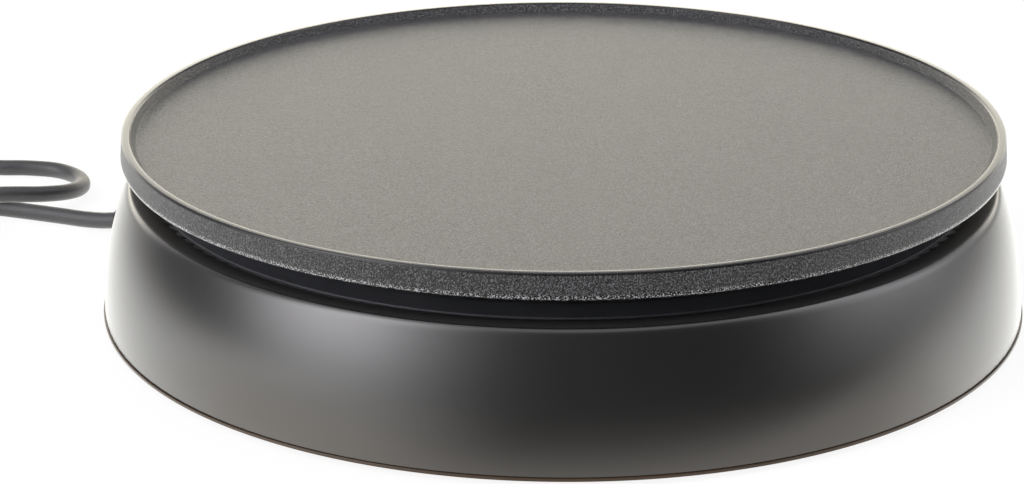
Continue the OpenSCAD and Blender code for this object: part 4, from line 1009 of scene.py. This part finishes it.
# %% Table: its own white, and its shade
TABLE_HALF = 4000
TABLE_GREY = (0.86, 0.86, 0.86, 1)
OWN_WHITE, OWN_SHARE = 1.02, 0.88
table = as_object("table", [(TABLE_HALF * x, TABLE_HALF * y, 0)
                            for x, y in ((-1, -1), (1, -1), (1, 1), (-1, 1))], [(0, 1, 2, 3)])
white, tree, shader = new_material("white_table")
tree.nodes.remove(shader)
lit = add(tree, "ShaderNodeBsdfDiffuse", {"Color": TABLE_GREY})
own = add(tree, "ShaderNodeEmission", {"Color": (1, 1, 1, 1), "Strength": OWN_WHITE})
path = add(tree, "ShaderNodeLightPath").outputs
share = times(tree, path["Is Camera Ray"], OWN_SHARE)
seen = add(tree, "ShaderNodeMixShader", {0: share, 1: lit.outputs[0], 2: own.outputs[0]})
print("table:", 2 * TABLE_HALF * MM, "m wide")

# %% Table: levels in the housing's gloss
# By how far in front of the cooker's middle a place is, in metres. The table is bright close by
# and falls off towards the dim side
TABLE_FALL = [
    (0.0, 2.5), (0.1, 2.4), (0.15, 1.6), (0.175, 1.5), (0.2, 0.95), (0.225, 0.62),
    (0.285, 0.42), (0.34, 0.33), (0.6, 0.26),
]
# To the left it goes over to one level, between these two bearings in degrees
TABLE_LEFT, LEFT_FROM, LEFT_WHOLE = 2.3, -6, -36
# From the housing's edge outwards it takes on the level of the room, half of it after HALFWAY
HOUSING_EDGE, HALFWAY, FADE_POWER = 0.175, 0.23, 1.6
spot = add(tree, "ShaderNodeTexCoord").outputs["Object"]
around = bearing(tree, spot)
room_there = level_ramp(tree, around, LOW_LEVELS)
in_front = times(tree, add(tree, "ShaderNodeSeparateXYZ", {0: spot}).outputs["Y"], -1.0)
near_level = level_ramp(tree, in_front, TABLE_FALL)
leftward = spread(tree, around, round_share(LEFT_FROM), round_share(LEFT_WHOLE))
near_level = blend(tree, leftward, near_level, TABLE_LEFT)
distance = add(tree, "ShaderNodeVectorMath", {0: spot}, operation="LENGTH").outputs["Value"]
reach = math_node(tree, "DIVIDE", math_node(tree, "SUBTRACT", distance, HOUSING_EDGE), HALFWAY)
reach = math_node(tree, "POWER", math_node(tree, "MAXIMUM", reach, 0.0), FADE_POWER)
close = math_node(tree, "DIVIDE", 1.0, math_node(tree, "ADD", reach, 1.0))
gloss_level = blend(tree, close, room_there, near_level)
print("levels in front of the housing:", len(TABLE_FALL))

# %% Table: hue in the gloss
FRONT_FROM, FRONT_WHOLE = 0.06, 0.16
TABLE_WHITE, TABLE_WARM = (1.0, 0.995, 0.965), (1.0, 0.94, 0.87)
warm_front = times(tree, math_node(tree, "POWER", close, 2.0),
                   spread(tree, in_front, FRONT_FROM, FRONT_WHOLE))
hue = mix_colour(tree, warm_front, TABLE_WHITE, TABLE_WARM)
gloss = add(tree, "ShaderNodeEmission", {"Color": hue, "Strength": gloss_level})
both = add(tree, "ShaderNodeMixShader", {
    0: path["Is Glossy Ray"], 1: seen.outputs[0], 2: gloss.outputs[0]})
tree.links.new(both.outputs[0], tree.nodes["Material Output"].inputs["Surface"])
table.data.materials.append(white)
print("nodes of the table's white:", len(tree.nodes))

# %% [markdown]
# ## Light of the room
# Lamps of their own would each need a place, and their edges would show in the black gloss. The
# room is painted with light instead, by bearing and by rise, which is 0 along the table and 1
# straight up. The camera itself sees plain white all round. The wall behind is lit from below, so
# it is brightest a little above the table, and it is a warm white low down, while the rest of the
# room is a little cool. A broad light hangs high up behind the cooker.

# %% Room light: levels
# Where each level starts and where it is whole: by rise, and by how far a direction points ahead
HIGHER_RISE, OVERHEAD_RISE = (0.0, 0.36), (0.70, 0.95)
WALL_LOW, WALL_HIGH, WALL_AHEAD = (0.04, 0.14), (0.38, 0.26), (0.6, 0.9)
LAMP_LOW, LAMP_HIGH, LAMP_AHEAD = (0.38, 0.58), (0.93, 0.80), (0.1, 0.5)
world = bpy.data.worlds.new("studio")
world.use_nodes = True
bpy.context.scene.world = world
tree = world.node_tree
toward = add(tree, "ShaderNodeTexCoord").outputs["Generated"]
axes = add(tree, "ShaderNodeSeparateXYZ", {0: toward}).outputs
around = bearing(tree, toward)
sides = blend(tree, spread(tree, axes["Z"], *HIGHER_RISE), level_ramp(tree, around, LOW_LEVELS),
              level_ramp(tree, around, HIGH_LEVELS))


def region(low, high, ahead):
    """A mask of the part of the room behind the cooker, between two rises."""
    return times(tree, spread(tree, axes["Z"], *high), spread(tree, axes["Z"], *low),
                 spread(tree, axes["Y"], *ahead))


wall = times(tree, region(WALL_LOW, WALL_HIGH, WALL_AHEAD), WALL_BEHIND)
sides = math_node(tree, "ADD", sides, wall)
lamp_level = blend(tree, spread(tree, axes["Z"], *OVERHEAD_RISE), sides, OVERHEAD)
lamp_level = blend(tree, region(LAMP_LOW, LAMP_HIGH, LAMP_AHEAD), lamp_level, HIGH_BEHIND)
paths = add(tree, "ShaderNodeLightPath").outputs
sees_white = math_node(tree, "MAXIMUM", paths["Is Camera Ray"], paths["Is Transmission Ray"])
strength = blend(tree, sees_white, lamp_level, 1.0)
tree.links.new(strength, tree.nodes["Background"].inputs["Strength"])
print("nodes of the room's levels:", len(tree.nodes))

# %% Room light: hue
WARM_RISE, WARM_AHEAD = (0.5, 0.22), (0.5, 0.95)
ROOM_COOL, WALL_WARM = (0.99, 0.972, 1.0), (1.0, 0.955, 0.81)
warm = times(tree, spread(tree, axes["Y"], *WARM_AHEAD), spread(tree, axes["Z"], *WARM_RISE))
tint = mix_colour(tree, warm, ROOM_COOL, WALL_WARM)
plain = mix_colour(tree, sees_white, tint, (1, 1, 1))
tree.links.new(plain, tree.nodes["Background"].inputs["Color"])
print("nodes of the room in all:", len(tree.nodes))
